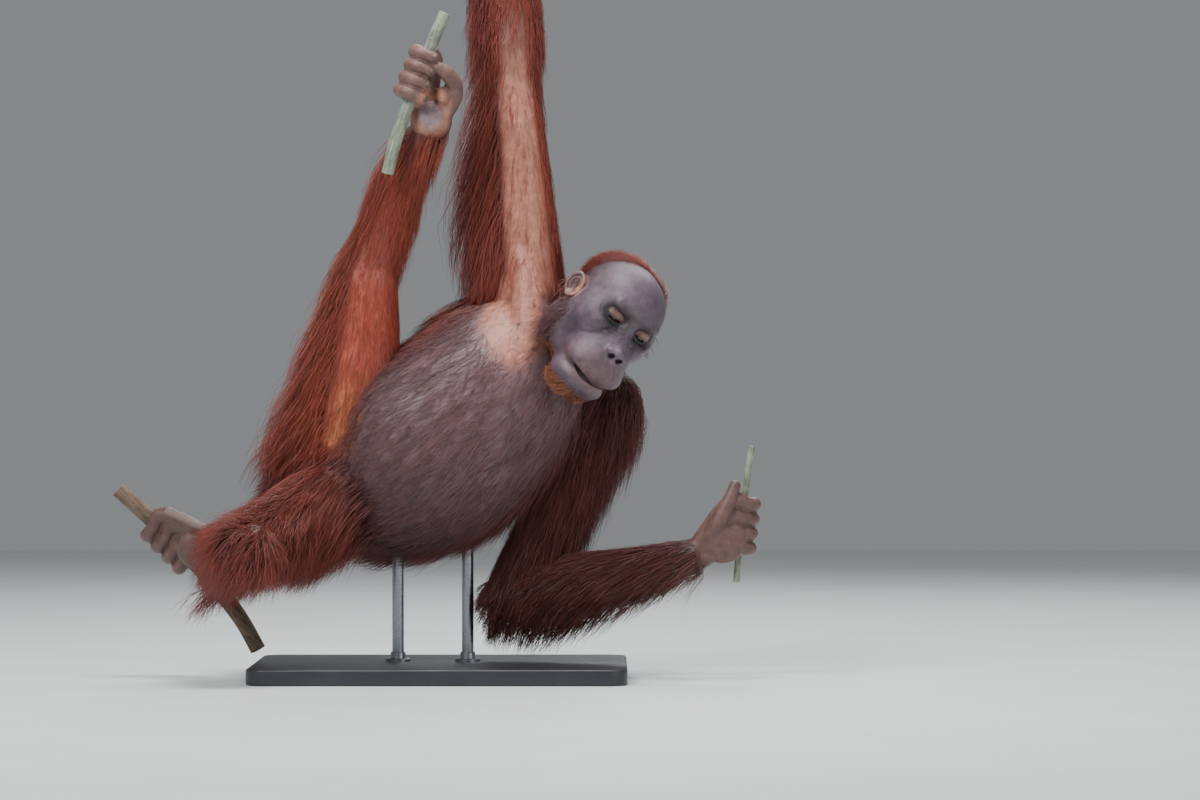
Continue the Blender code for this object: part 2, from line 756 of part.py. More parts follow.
def nostril_cutters(bm):
    for side in (-1, 1):
        made = bmesh.ops.create_icosphere(bm, subdivisions=2, radius=1.0)
        turn = Matrix.Rotation(side * math.radians(-25), 4, "Y")
        place = Matrix.Translation((side * 0.0078, -0.111, -0.0565)) @ turn
        bmesh.ops.transform(bm, matrix=place @ Matrix.Diagonal((0.0042, 0.0080, 0.0028, 1.0)),
                            verts=made["verts"])


def eyeball_cutters(bm):
    for centre in mirrored(EYE_CENTRE):
        ball(bm, centre, [EYE_RADIUS + 4 * GAP] * 3, fineness=2)


def eyelid_cutters(bm):
    """The narrow slit between the lowered lids of each eye."""
    for side, centre in zip((-1, 1), mirrored(EYE_CENTRE)):
        made = bmesh.ops.create_icosphere(bm, subdivisions=2, radius=1.0)
        turn = (Matrix.Rotation(side * math.radians(6), 4, "Y")
                @ Matrix.Rotation(side * math.radians(12), 4, "Z"))
        place = Matrix.Translation(centre + Vector((side * 0.001, -0.015, -0.0050))) @ turn
        bmesh.ops.transform(bm, matrix=place @ Matrix.Diagonal((0.0110, 0.0160, 0.0022, 1.0)),
                            verts=made["verts"])


def build_ear(side, head_grown, finish):
    """A small rounded ear with a rim, a hollow cup and a lobe, standing off the head."""
    bm = bmesh.new()
    ball(bm, Vector((0, 0, 0)), (0.0060, 0.0115, 0.0165))
    rim = [
        station((0.0045, 0.0125 * math.sin(a), 0.0180 * math.cos(a)), 0.0030 + 0.0004 * math.cos(a))
        for a in [math.radians(d) for d in range(-150, 151, 30)]
    ]
    tube(bm, rim, depth_axis=Vector((1, 0, 0)), sides=8, steps=2)
    ball(bm, Vector((0.0030, 0.0015, -0.0165)), (0.0045, 0.0060, 0.0055))
    ball(bm, Vector((-0.0070, 0.0030, -0.0010)), (0.0110, 0.0080, 0.0120))
    ear = new_object("ear_" + side, bm, finish)
    fuse(ear, 0.0011, 1)
    bm = bmesh.new()
    ball(bm, Vector((0.0085, 0.0005, 0.0010)), (0.0080, 0.0075, 0.0115))
    cup = new_object("cup", bm)
    take_away(ear, cup)
    remove(cup)
    thin_out(ear, 280)
    # The cup faces outwards and a little forwards
    out = 1 if side == "l" else -1
    mirror = Matrix.Diagonal((out, 1, 1, 1))
    turn = Matrix.Rotation(-out * EAR_FORWARD, 4, "Z") @ Matrix.Rotation(-EAR_LEAN, 4, "X")
    centre = Vector((out * EAR_CENTRE.x, EAR_CENTRE.y, EAR_CENTRE.z))
    ear.data.transform(head_place() @ Matrix.Translation(centre) @ turn @ mirror)
    if out < 0:
        ear.data.flip_normals()
    take_away(ear, head_grown)
    largest_only(ear)
    return ear


def build_eye(side, finish):
    out = 1 if side == "l" else -1
    bm = bmesh.new()
    made = bmesh.ops.create_uvsphere(bm, u_segments=12, v_segments=8, radius=EYE_RADIUS)
    centre = Vector((out * EYE_CENTRE.x, EYE_CENTRE.y, EYE_CENTRE.z))
    turn = Matrix.Rotation(math.radians(90), 4, "X")
    bmesh.ops.transform(bm, matrix=head_place() @ Matrix.Translation(centre) @ turn, verts=made["verts"])
    return new_object("eye_" + side, bm, finish)


def build_perch(name, finish):
    """A short cut length of what one hand or foot holds, straight where it is gripped."""
    centre, along, radius, before, after = PERCHES[name]
    along = along.normalized()
    aside = along.orthogonal().normalized()
    bm = bmesh.new()
    stations = []
    steps = 8
    for k in range(steps + 1):
        reach = -before + (before + after) * k / steps
        free = max(0.0, abs(reach) - 0.06)
        knot = 1.0 + (0.10 * abs(math.sin(k * 2.3)) if free > 0 else 0.0)
        point = centre + along * reach + aside * (free ** 2 * 1.3)
        stations.append(station(point, radius * knot))
    tube(bm, stations, depth_axis=aside, sides=9, steps=1, round_ends=False)
    return new_object(name, bm, finish)


def build_stand(finish_base, finish_rod, height):
    """A flat board with rounded corners, its top at this height, and two rods up into the belly."""
    bm = bmesh.new()
    bmesh.ops.create_cube(bm, size=1.0)
    place = Matrix.Translation(BASE_CENTRE + Vector((0, 0, height - BASE_SIZE.z / 2)))
    bmesh.ops.transform(bm, matrix=place @ Matrix.Diagonal((*BASE_SIZE, 1.0)), verts=bm.verts)
    upright = [e for e in bm.edges if abs(e.verts[0].co.z - e.verts[1].co.z) > 0.01]
    bmesh.ops.bevel(bm, geom=upright, offset=CORNER_RADIUS, segments=4, affect="EDGES", profile=0.5)
    top = [
        e for e in bm.edges
        if all(v.co.z > height - 0.001 for v in e.verts) and e.calc_face_angle(0) > 0.5
    ]
    bmesh.ops.bevel(bm, geom=top, offset=EDGE_BEVEL, segments=1, affect="EDGES", profile=0.5)
    new_object("stand_base", bm, finish_base)
    for number, (foot, top_height) in enumerate(RODS, start=1):
        cylinder(f"stand_rod_{number}", foot, height + GAP, top_height, ROD_RADIUS, finish_rod)


def cylinder(name, foot, bottom, top, radius, finish=None):
    bm = bmesh.new()
    bmesh.ops.create_cone(bm, cap_ends=True, segments=20, radius1=radius, radius2=radius,
                          depth=top - bottom)
    bmesh.ops.translate(bm, vec=(foot[0], foot[1], (top + bottom) / 2), verts=bm.verts)
    return new_object(name, bm, finish)


def build_body(share):
    """Trunk, right arm and both legs as one form, grown by a share of the coat."""
    bm = bmesh.new()
    bare, coated = torso_stations()
    tube(bm, bare, sides=28)
    tube(bm, blend(bare, coated, share), sides=28)
    muscles_form(bm)
    limbs_form(bm, ("upper_arm_r", "forearm_r", "thigh_r", "shin_r", "thigh_l", "shin_l"), share)
    hand_r_form(bm)
    foot_r_form(bm)
    foot_l_form(bm)
    body = new_object("body", bm)
    fuse(body, BODY_VOXEL, 4)
    thin_out(body, BODY_TRIANGLES)
    return body


def build_arm_l(share):
    """The left arm, which reaches forwards past the chest, from the shoulder to the hand."""
    bm = bmesh.new()
    ball(bm, SHOULDER_L + Vector((-0.004, 0.000, 0.004)), (0.056, 0.054, 0.060))
    limbs_form(bm, ("upper_arm_l", "forearm_l"), share)
    hand_l_form(bm)
    arm = new_object("arm", bm)
    fuse(arm, BODY_VOXEL, 4)
    thin_out(arm, ARM_TRIANGLES)
    return arm


def limbs_form(bm, names, share):
    """The skin of each limb length and, round it, as much of its coat as the share says."""
    for name in names:
        bare, coated, depth_axis = limb_tubes()[name]
        reach = PLAIN_COAT if name in PLAIN_LENGTHS and share > 0 else share
        tube(bm, bare, depth_axis=depth_axis)
        tube(bm, blend(bare, coated, reach), depth_axis=depth_axis, sides=20)


def build_neck(neighbours, finish):
    """The neck between the trunk and the skull, cut to meet both face to face."""
    bare, coated = neck_stations()
    for share in NECK_COATS:
        bm = bmesh.new()
        tube(bm, blend(bare, coated, share), sides=24)
        neck = new_object("neck", bm, finish)
        for neighbour in neighbours:
            take_away(neck, neighbour)
        largest_only(neck)
        merge_flat_faces(neck)
        if is_closed(neck):
            return
        remove(neck)
    raise RuntimeError("the neck is not closed")


def cut_loop(bm, centre, normal, reach):
    """Cuts the faces round a joint along a plane and gives the loop of edges nearest to it."""
    faces = [f for f in bm.faces if (f.calc_center_median() - centre).length < reach]
    edges = dict.fromkeys(e for f in faces for e in f.edges)
    vertices = dict.fromkeys(v for f in faces for v in f.verts)
    geometry = [*edges, *vertices, *faces]
    cut = bmesh.ops.bisect_plane(bm, geom=geometry, plane_co=centre, plane_no=normal, dist=1e-6)
    edges = [g for g in cut["geom_cut"] if isinstance(g, bmesh.types.BMEdge)]
    loop = min(edge_loops(edges), key=lambda es: (loop_middle(es) - centre).length)
    counts = {}
    for edge in loop:
        for vertex in edge.verts:
            counts[vertex] = counts.get(vertex, 0) + 1
    return loop, all(n == 2 for n in counts.values())


def local_cut(bm, centre, normal, reach):
    """Parts a body at a joint: cuts one loop near the centre, opens it and caps both sides."""
    normal = normal.normalized()
    for nudge in (0.0, 0.0005, -0.0005, 0.0010, -0.0010):
        trial = bm.copy()
        closed = cut_loop(trial, centre + normal * nudge, normal, reach)[1]
        trial.free()
        if closed:
            centre = centre + normal * nudge
            break
    loop, closed = cut_loop(bm, centre, normal, reach)
    if not closed:
        raise RuntimeError(f"the cut at {tuple(round(c, 3) for c in centre)} is not a closed loop")
    bmesh.ops.split_edges(bm, edges=loop)
    rims = [e for e in bm.edges if e.is_boundary]
    for rim in edge_loops(rims):
        vertices = dict.fromkeys(v for e in rim for v in e.verts)
        inside = sum(
            ((f.calc_center_median() - centre).dot(normal) for e in rim for f in e.link_faces), 0.0)
        shift = normal * (GAP / 2 if inside > 0 else -GAP / 2)
        for vertex in vertices:
            vertex.co += shift
    made = bmesh.ops.holes_fill(bm, edges=rims, sides=0)
    bmesh.ops.triangulate(bm, faces=made["faces"])


def edge_loops(edges):
    """Groups edges that touch, in a fixed order."""
    left, groups = set(edges), []
    for first in edges:
        if first not in left:
            continue
        left.remove(first)
        stack = [first]
        group = []
        while stack:
            edge = stack.pop()
            group.append(edge)
            for vertex in edge.verts:
                for other in vertex.link_edges:
                    if other in left:
                        left.remove(other)
                        stack.append(other)
        groups.append(group)
    return groups


def loop_middle(edges):
    return sum((v.co for e in edges for v in e.verts), Vector()) / (2 * len(edges))


def split(body, cuts, nodes, finishes):
    """Cuts a fused form at its joints and names each piece by the point it lies nearest."""
    bm = bmesh.new()
    bm.from_mesh(body.data)
    remove(body)
    for centre, normal, reach in cuts:
        local_cut(bm, centre, normal, reach)
    pieces = islands(bm)
    made = {}
    for name, (point, finish) in nodes.items():
        best = min(pieces, key=lambda piece: min((v.co - point).length for v in piece))
        made[name] = piece_object(bm, best, name, finishes[finish])
        pieces.remove(best)
    bm.free()
    return made


def piece_object(source, vertices, name, finish):
    bm = bmesh.new()
    places = {v: bm.verts.new(v.co) for v in vertices}
    for face in dict.fromkeys(f for v in vertices for f in v.link_faces):
        bm.faces.new([places[v] for v in face.verts])
    return new_object(name, bm, finish)


# Where the body is parted: middle of each cut, its direction, and how far round it to cut
BODY_CUTS = [
    (Vector((0.120, 0.020, 0.640)), Vector((-0.35, 0.0, 0.94)), 0.13),
    (ELBOW_R + Vector((0, 0, 0.002)), Vector((-0.06, 0.0, 1.0)), 0.11),
    (WRIST_R + Vector((0, 0, 0.004)), Vector((0.0, 0.0, 1.0)), 0.07),
    (Vector((-0.136, 0.000, 0.485)), Vector((-0.62, -0.05, 0.78)), 0.22),
    (KNEE_R + Vector((0, 0, 0.004)), Vector((0.12, -0.20, 0.97)), 0.10),
    (Vector((-0.036, -0.092, 0.838)), Vector((0.36, -0.25, 0.90)), 0.07),
    (Vector((-0.206, -0.080, 0.268)), Vector((-0.62, -0.76, -0.10)), 0.20),
    (KNEE_L + Vector((-0.002, 0.020, -0.010)), Vector((-0.88, 0.20, -0.43)), 0.22),
    (ANKLE_L + Vector((-0.016, 0.002, -0.010)), Vector((-0.78, 0.62, 0.05)), 0.12),
]
ARM_L_CUTS = [
    (Vector((0.120, 0.034, 0.190)), Vector((0.35, 0.0, -0.94)), 0.14),
    (WRIST_L, WRIST_L - ELBOW_L, 0.07),
]

# Each node: a point that lies nearest to its piece, and its finish
BODY_NODES = {
    "torso": (Vector((0.020, 0.010, 0.250)), "belly"),
    "upper_arm_r": (Vector((0.098, 0.000, 0.820)), "coat"),
    "forearm_r": (Vector((0.098, 0.000, 1.100)), "coat"),
    "hand_r": (Vector((0.084, -0.030, 1.370)), "bare"),
    "thigh_r": (Vector((-0.180, 0.000, 0.600)), "coat"),
    "shin_r": (Vector((-0.090, -0.060, 0.760)), "coat"),
    "foot_r": (Vector((-0.020, -0.130, 0.850)), "bare"),
    "thigh_l": (Vector((-0.230, -0.100, 0.200)), "coat"),
    "shin_l": (Vector((-0.320, -0.100, 0.150)), "coat"),
    "foot_l": (Vector((-0.440, 0.030, 0.250)), "bare"),
}
ARM_L_NODES = {
    "upper_arm_l": (Vector((0.190, 0.050, 0.330)), "coat_dark"),
    "forearm_l": (Vector((0.250, 0.000, 0.190)), "coat_dark"),
    "hand_l": (Vector((0.465, -0.010, 0.262)), "bare"),
}


def surface_of(stations, depth_axis):
    """A function that gives the point of a tube at a share of its length and an angle round it."""
    dense = smooth_stations(stations, 4)
    centres = [Vector(s[:3]) for s in dense]
    frames = ring_frames(centres, depth_axis)
    last = len(dense) - 1

    def point(along, angle):
        place = along * last
        i = max(0, min(last - 1, math.floor(place)))
        past = place - i
        share = max(0.0, min(1.0, past))
        wide, deep = (dense[i][k] + (dense[i + 1][k] - dense[i][k]) * share for k in (3, 4))
        side = frames[i][1].lerp(frames[i + 1][1], share)
        depth = frames[i][2].lerp(frames[i + 1][2], share)
        centre = centres[i] + (centres[i + 1] - centres[i]) * past
        return centre + side * (wide * math.cos(angle)) + depth * (deep * math.sin(angle))
    return point


def lock_mesh(path, outward, width, thick):
    """A flat lock along a path: a low ridge in section, full at the root and fine at its tip."""
    bm = bmesh.new()
    rings = []
    shape = LOCK_PROFILE
    for i, (point, share) in enumerate(zip(path[:-1], shape)):
        run = (path[i + 1] - path[max(i - 1, 0)]).normalized()
        across = run.cross(outward).normalized()
        lift = across.cross(run).normalized()
        ring = [
            point + across * (width / 2 * share) - lift * (thick / 2 * share),
            point + lift * (thick / 2 * share),
            point - across * (width / 2 * share) - lift * (thick / 2 * share),
        ]
        rings.append([bm.verts.new(co) for co in ring])
    tip = bm.verts.new(path[-1])
    for first, second in zip(rings, rings[1:]):
        for k in range(3):
            bm.faces.new((first[k], first[(k + 1) % 3], second[(k + 1) % 3], second[k]))
    for k in range(3):
        bm.faces.new((rings[-1][k], rings[-1][(k + 1) % 3], tip))
    bm.faces.new(rings[0][::-1])
    bmesh.ops.triangulate(bm, faces=bm.faces)
    bmesh.ops.recalc_face_normals(bm, faces=bm.faces)
    return bm


def tube_lock_path(core, coat, along, angle, run, twist, droop):
    """From under the core's surface out to the tips of the coat, bending along its lie."""
    path = []
    for share, rise in LOCK_RISE:
        place = (along + run * share, angle + twist * share)
        inner, outer = core(*place), coat(*place)
        point = inner.lerp(outer, rise)
        point.z -= droop * share ** 2
        path.append(point)
    return path


def deep_in(tree, point, depth):
    """Whether a point lies at least this deep inside a closed mesh."""
    place, normal, _, distance = tree.find_nearest(point)
    return (point - place).dot(normal) < 0 and distance > depth


def tree_of(obj):
    """An object's faces, sorted for finding the nearest and those that cross."""
    bm = bmesh.new()
    bm.from_mesh(obj.data)
    tree = BVHTree.FromBMesh(bm)
    bm.free()
    return tree


def grow_locks(obj, candidates, obstacles):
    """Joins to a node those locks that root in it and stay clear of every other node."""
    own = tree_of(obj)
    collection = bpy.data.collections.new(obj.name + "_locks")
    grown = 0
    for make_path, outward_of, width, thick in candidates:
        for length in (1.0, 0.75, 0.5):
            path = make_path(length)
            outward = outward_of(path)
            if not deep_in(own, path[0], 0.002) or deep_in(own, path[-1], 0.0):
                continue
            wider = lock_mesh(path, outward, width + 0.0016, thick + 0.0016)
            reach = BVHTree.FromBMesh(wider)
            wider.free()
            if any(reach.overlap(tree) for tree in obstacles):
                continue
            lock = new_object("lock", lock_mesh(path, outward, width, thick))
            collection.objects.link(lock)
            grown += 1
            break
    if grown:
        together = {"operand_type": "COLLECTION", "collection": collection}
        if not if_closed(obj, lambda o: boolean(o, "UNION", **together)):
            for lock in collection.objects:
                if_closed(obj, lambda o, lock=lock: boolean(o, "UNION", object=lock))
        largest_only(obj)
        if_closed(obj, merge_flat_faces)
        if_closed(obj, lambda o: thin_out(o, round(triangle_count(o) * LOCK_THINNING)))
    for lock in list(collection.objects):
        remove(lock)
    bpy.data.collections.remove(collection)
    return grown


def merge_flat_faces(obj):
    """Joins the slivers that a union leaves in one plane."""
    bm = bmesh.new()
    bm.from_mesh(obj.data)
    bmesh.ops.remove_doubles(bm, verts=bm.verts, dist=SLIVER)
    bmesh.ops.dissolve_limit(bm, angle_limit=math.radians(1.0), verts=bm.verts, edges=bm.edges)
    bmesh.ops.triangulate(bm, faces=bm.faces)
    bm.to_mesh(obj.data)
    bm.free()


def tube_candidates(name, draw):
    """Rows of locks along one length of the body, each row set between those of the last."""
    if name == "torso":
        bare, coated, depth_axis = *torso_stations(), Vector((0, 1, 0))
    else:
        bare, coated, depth_axis = limb_tubes()[name]
    core = surface_of(blend(bare, coated, BODY_COAT), depth_axis)
    coat = surface_of(coated, depth_axis)
    made = []
    start, end, rows, first, last, around, run, width = LOCK_ROWS[name]
    for row in range(rows):
        along = start + (end - start) * row / max(rows - 1, 1)
        for k in range(around):
            turn = (k + 0.5 * (row % 2) + draw.uniform(-0.2, 0.2)) / around
            angle = math.radians(first + (last - first) * turn)
            place = along + draw.uniform(-0.03, 0.03)
            reach = run * draw.uniform(0.85, 1.15)
            twist = draw.uniform(-0.12, 0.12)
            droop = draw.uniform(0.004, 0.012)
            wide = width * draw.uniform(0.85, 1.15)
            roll = draw.uniform(-0.5, 0.5)

            def make_path(length, place=place, angle=angle, reach=reach, twist=twist, droop=droop):
                return tube_lock_path(core, coat, place, angle, reach * length, twist, droop * length)

            def outward_of(path, place=place, angle=angle, roll=roll):
                return (coat(place, angle + roll) - core(place, angle - roll * 0.2)).normalized()
            made.append((make_path, outward_of, wide, LOCK_THICKNESS))
    return made


def head_candidates(draw):
    """Hair from the brow back over the crown, and whiskers along the jaw."""
    turn = head_place()
    made = []

    def crown(over, aside, share):
        radii = CROWN_RADII + CROWN_HAIR * share
        return CROWN_CENTRE + Vector((
            radii.x * math.sin(aside),
            -radii.y * math.cos(aside) * math.cos(over),
            radii.z * math.cos(aside) * math.sin(over),
        ))

    for row, over in enumerate((66, 100, 136, 172)):
        for k in range(4 + row % 2):
            aside = math.radians(-57 + 114 * (k + draw.uniform(-0.15, 0.15)) / (3 + row % 2))
            begin = math.radians(over + draw.uniform(-5, 5))

            def make_path(length, begin=begin, aside=aside):
                return [
                    turn @ crown(begin + 0.75 * length * share, aside * (1 - 0.15 * share),
                                 HEAD_COAT + (1.08 - HEAD_COAT) * rise)
                    for share, rise in LOCK_RISE
                ]

            def outward_of(path):
                return (path[1] - turn @ CROWN_CENTRE).normalized()
            made.append((make_path, outward_of, 0.036, 0.007))
    for side in (-1, 1):
        for k in range(5):
            share = k / 4
            out_to = side * (0.058 - 0.026 * share)
            root = Vector((out_to, 0.004 - 0.052 * share, -0.064 - 0.066 * share))
            lie = Vector((side * (0.30 - 0.15 * share), 0.30 - 0.10 * share, -0.90))

            def make_path(length, root=root, lie=lie, side=side):
                out = Vector((side * 0.9, -0.1, -0.3)).normalized()
                return [
                    turn @ (root + lie * (0.048 * length * part) + out * (0.007 * rise - 0.003))
                    for part, rise in LOCK_RISE
                ]

            def outward_of(path, side=side):
                return turn.to_3x3() @ Vector((side * 0.9, -0.3, -0.2))
            made.append((make_path, outward_of, 0.024, 0.006))
    return made


def make_finishes():
    return {
        "coat": material("coat hair", "6E3424", 0.75),
        "coat_dark": material("dark coat hair", "4A1F1E", 0.75),
        "belly": material("thin belly hair over skin", "5A3A3C", 0.70),
        "face": material("face skin", "8A7B84", 0.55),
        "bare": material("hand and foot skin", "6F5A5C", 0.60),
        "ear": material("ear skin", "A88478", 0.60),
        "eye": material("eyeball", "1C1210", 0.15),
        "bark": material("vine bark", "8E9384", 0.80),
        "branch": material("branch bark", "6B5A4A", 0.85),
        "base": material("stand board", "26262A", 0.45),
        "rod": material("stand rod", "8C8F94", 0.30, 1.0),
    }


def main():
    for old in list(bpy.data.objects):
        bpy.data.objects.remove(old)
    finishes = make_finishes()
    head = build_head(HEAD_COAT)
    head.data.materials.append(finishes["face"])
    head_grown = inflated(head, GAP * 1.3)
    ears = [build_ear(side, head_grown, finishes["ear"]) for side in "rl"]
    for side in "rl":
        build_eye(side, finishes["eye"])
    body, arm = build_body(BODY_COAT), build_arm_l(BODY_COAT)
    take_away(body, head_grown)
    largest_only(body)
    body_grown = inflated(body, GAP * 1.3)
    take_away(arm, body_grown)
    largest_only(arm)
    arm_grown = inflated(arm, GAP * 1.3)
    ears_grown = [inflated(ear, GAP * 1.3) for ear in ears]
    build_neck([head_grown, body_grown, arm_grown, *ears_grown], finishes["coat"])
    for grown in (head_grown, body_grown, arm_grown, *ears_grown):
        remove(grown)
    for name in PERCHES:
        perch = build_perch(name, finishes["bark" if name in GREEN_PERCHES else "branch"])
        grown = inflated(perch, GAP)
        take_away(arm if name == "perch_twig" else body, grown)
        remove(grown)
    sockets = []
    for foot, top_height in RODS:
        socket = cylinder("socket", foot, 0.0, top_height + GAP, ROD_RADIUS + GAP)
        take_away(body, socket)
        sockets.append(tree_of(socket))
        remove(socket)
    largest_only(body)
    largest_only(arm)
    nodes = split(body, BODY_CUTS, BODY_NODES, finishes)
    nodes.update(split(arm, ARM_L_CUTS, ARM_L_NODES, finishes))
    nodes["neck"] = bpy.data.objects["neck"]
    nodes["head"] = head
    cover_with_locks(nodes, sockets)
    lowest = min(v.co.z for o in nodes.values() for v in o.data.vertices)
    build_stand(finishes["base"], finishes["rod"], lowest - FLOOR_CLEARANCE)
    set_on_origin()


def cover_with_locks(nodes, sockets):
    """Gives each haired node its locks, in turn, clear of all that is there already and of the rods."""
    draw = random.Random(SEED)
    on_body = [lock for length in LOCK_ROWS for lock in tube_candidates(length, draw)]
    on_head = head_candidates(draw)
    trees = {o.name: tree_of(o) for o in bpy.data.objects if o.type == "MESH"}
    for name in HAIRED:
        candidates = on_head if name == "head" else on_body
        others = sockets + [tree for other, tree in trees.items() if other != name]
        grow_locks(nodes[name], candidates, others)
        trees[name] = tree_of(nodes[name])


def set_on_origin():
    """Moves the whole part so that the middle of its bounds' underside is the origin."""
    meshes = [o.data for o in bpy.data.objects if o.type == "MESH"]
    points = [v.co for mesh in meshes for v in mesh.vertices]
    low = Vector([min(p[i] for p in points) for i in range(3)])
    high = Vector([max(p[i] for p in points) for i in range(3)])
    shift = -Vector(((low.x + high.x) / 2, (low.y + high.y) / 2, low.z))
    for mesh in meshes:
        mesh.transform(Matrix.Translation(shift))


if __name__ == "__main__":
    main()
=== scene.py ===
"""Looks of a life-size display model of an orangutan that hangs by one arm.

Lengths are in metres. +Z is up and the viewer, who sees the animal's chest, stands on the -Y
side. The skeleton is given in the axes that the animal was laid out in, and moved at the end
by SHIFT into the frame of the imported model.
"""

import math
from types import SimpleNamespace

import bmesh
import bpy
import numpy as np
from bpy.props import FloatProperty, FloatVectorProperty, IntProperty, PointerProperty
from bpy.types import Operator, Panel, PropertyGroup
from mathutils import Matrix, Vector
from mathutils.kdtree import KDTree


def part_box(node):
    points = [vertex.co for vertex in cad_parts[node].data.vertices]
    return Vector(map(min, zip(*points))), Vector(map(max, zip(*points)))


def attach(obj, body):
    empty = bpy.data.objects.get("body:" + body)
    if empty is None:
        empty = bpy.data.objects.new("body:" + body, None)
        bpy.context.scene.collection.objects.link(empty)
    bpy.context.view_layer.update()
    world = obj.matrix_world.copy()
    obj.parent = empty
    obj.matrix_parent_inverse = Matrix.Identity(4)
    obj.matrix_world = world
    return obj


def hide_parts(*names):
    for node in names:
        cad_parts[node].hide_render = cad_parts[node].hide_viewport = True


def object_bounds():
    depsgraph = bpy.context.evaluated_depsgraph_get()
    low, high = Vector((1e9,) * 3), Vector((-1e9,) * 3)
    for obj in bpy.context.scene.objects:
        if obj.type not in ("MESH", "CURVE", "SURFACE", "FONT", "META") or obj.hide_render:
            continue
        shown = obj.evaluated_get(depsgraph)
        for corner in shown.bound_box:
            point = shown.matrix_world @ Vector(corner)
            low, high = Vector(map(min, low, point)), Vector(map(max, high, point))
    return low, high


bl_info = {
    "name": "Hanging orangutan",
    "version": (1, 0, 0),
    "blender": (4, 5, 0),
    "location": "3D View > Sidebar > Ape",
    "description": "Skin, eyes, coat, perches and stand of a life-size orangutan model",
    "category": "Object",
}

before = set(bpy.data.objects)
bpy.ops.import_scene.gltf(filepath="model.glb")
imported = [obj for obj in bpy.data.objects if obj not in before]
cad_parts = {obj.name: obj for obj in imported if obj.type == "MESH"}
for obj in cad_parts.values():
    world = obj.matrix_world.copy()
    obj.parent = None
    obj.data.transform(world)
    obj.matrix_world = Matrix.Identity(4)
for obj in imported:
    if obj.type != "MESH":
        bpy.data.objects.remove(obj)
CAD_BOX = [list(corner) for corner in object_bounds()]
SEED = 11

# Joint centres of the skeleton
ELBOW_R = Vector((0.098, 0.000, 0.951))
SHOULDER_R = Vector((0.124, 0.020, 0.625))
WRIST_R = Vector((0.085, 0.006, 1.256))
SHOULDER_L = Vector((0.236, 0.060, 0.440))
ELBOW_L = Vector((0.097, 0.030, 0.158))
WRIST_L = Vector((0.376, -0.020, 0.217))
HIP_R = Vector((-0.140, 0.005, 0.400))
KNEE_R = Vector((-0.112, -0.035, 0.656))
ANKLE_R = Vector((-0.034, -0.092, 0.842))
HIP_L = Vector((-0.146, 0.010, 0.310))
KNEE_L = Vector((-0.282, -0.195, 0.238))
ANKLE_L = Vector((-0.326, -0.012, 0.222))

# The head's place and how it is turned, rolled and bent down
HEAD_CENTRE = Vector((0.263, -0.072, 0.601))
HEAD_ROLL = math.radians(38)
HEAD_YAW = math.radians(29)
HEAD_PITCH = math.radians(12)

# Digits
FINGER_RADIUS = 0.0105
TOE_RADIUS = 0.0105
THUMB_RADIUS = 0.0115

# Eyes, ears and crown, in the head's own axes
EYE_CENTRE = Vector((0.0265, -0.0640, -0.0130))
EYE_RADIUS = 0.0120
LID_RADIUS = 0.0145
EAR_CENTRE = Vector((0.0730, 0.0000, -0.0270))
EAR_FORWARD = math.radians(35)
EAR_LEAN = math.radians(8)
CROWN_CENTRE = Vector((0, 0.018, -0.002))
CROWN_RADII = Vector((0.064, 0.060, 0.062))

# What the hands and feet hold: middle of the grip, direction, radius, reach each way
PERCHES = {
    "perch_overhead": (Vector((0.084, -0.034, 1.335)), Vector((1, 0, 0.06)), 0.019, 0.150, 0.150),
    "perch_vine": (Vector((-0.036, -0.138, 0.926)), Vector((0.36, 0, 0.93)), 0.0090, 0.150, 0.100),
    "perch_branch": (Vector((-0.414, 0.036, 0.236)), Vector((0.7071, 0, -0.7071)), 0.0115, 0.115, 0.205),
    "perch_twig": (Vector((0.442, -0.006, 0.262)), Vector((0.10, 0, 0.99)), 0.0050, 0.085, 0.120),
}
GREEN_PERCHES = ("perch_vine", "perch_twig")

# The first rod of the stand, as laid out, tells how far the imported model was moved
ROD_FOOT = Vector((-0.075, 0.040))
ROD_TOP = 0.290
rod_low, rod_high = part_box("stand_rod_1")
SHIFT = Vector((
    (rod_low.x + rod_high.x) / 2 - ROD_FOOT.x,
    (rod_low.y + rod_high.y) / 2 - ROD_FOOT.y,
    rod_high.z - ROD_TOP,
))

# Nodes of flesh, which one skin replaces
FLESH = (
    "head", "neck", "torso", "ear_l", "ear_r", "upper_arm_l", "forearm_l", "hand_l", "upper_arm_r",
    "forearm_r", "hand_r", "thigh_l", "shin_l", "foot_l", "thigh_r", "shin_r", "foot_r",
)

# How softly fingers and toes run into each other
WEB = 0.0020

# Grain of the skin's mesh, fewest points it can have when whole, and reach of the face's finer part
BODY_GRAIN = 0.0036
FEWEST_POINTS = 50000
FACE_REACH = 0.07316

# Points on each tuft's way, the faces that this gives it, and the most faces in one piece of coat
TUFT_STEPS = 4
TUFT_FACES = 16
PIECE_FACES = 190000

# The least height of hair over the floor, and how far it may stand out before the solid model
HAIR_FLOOR = 0.030
HAIR_REACH = 0.008

# Corners and edges of the stand's board, and sides of its rods
BOARD_CORNER = 0.030
BOARD_EDGE = 0.003
ROD_SIDES = 64

# Studio lights, each with its place, width and power, and the camera
LIGHTS = {
    "key": ((-1.6, -2.6, 3.0), 1.4, 135),
    "top": ((0.25, -0.35, 3.1), 1.3, 95),
    "fill": ((2.6, -2.2, 1.4), 2.0, 26),
    "rim": ((0.8, 2.6, 2.6), 1.8, 60),
}
LIT_MIDDLE = Vector((0.1, 0, 0.45))
CAMERA_PLACE = Vector((0.2295, -7.0, 0.45))
CAMERA_LENS = 140
FLOOR_REACH = 6.0


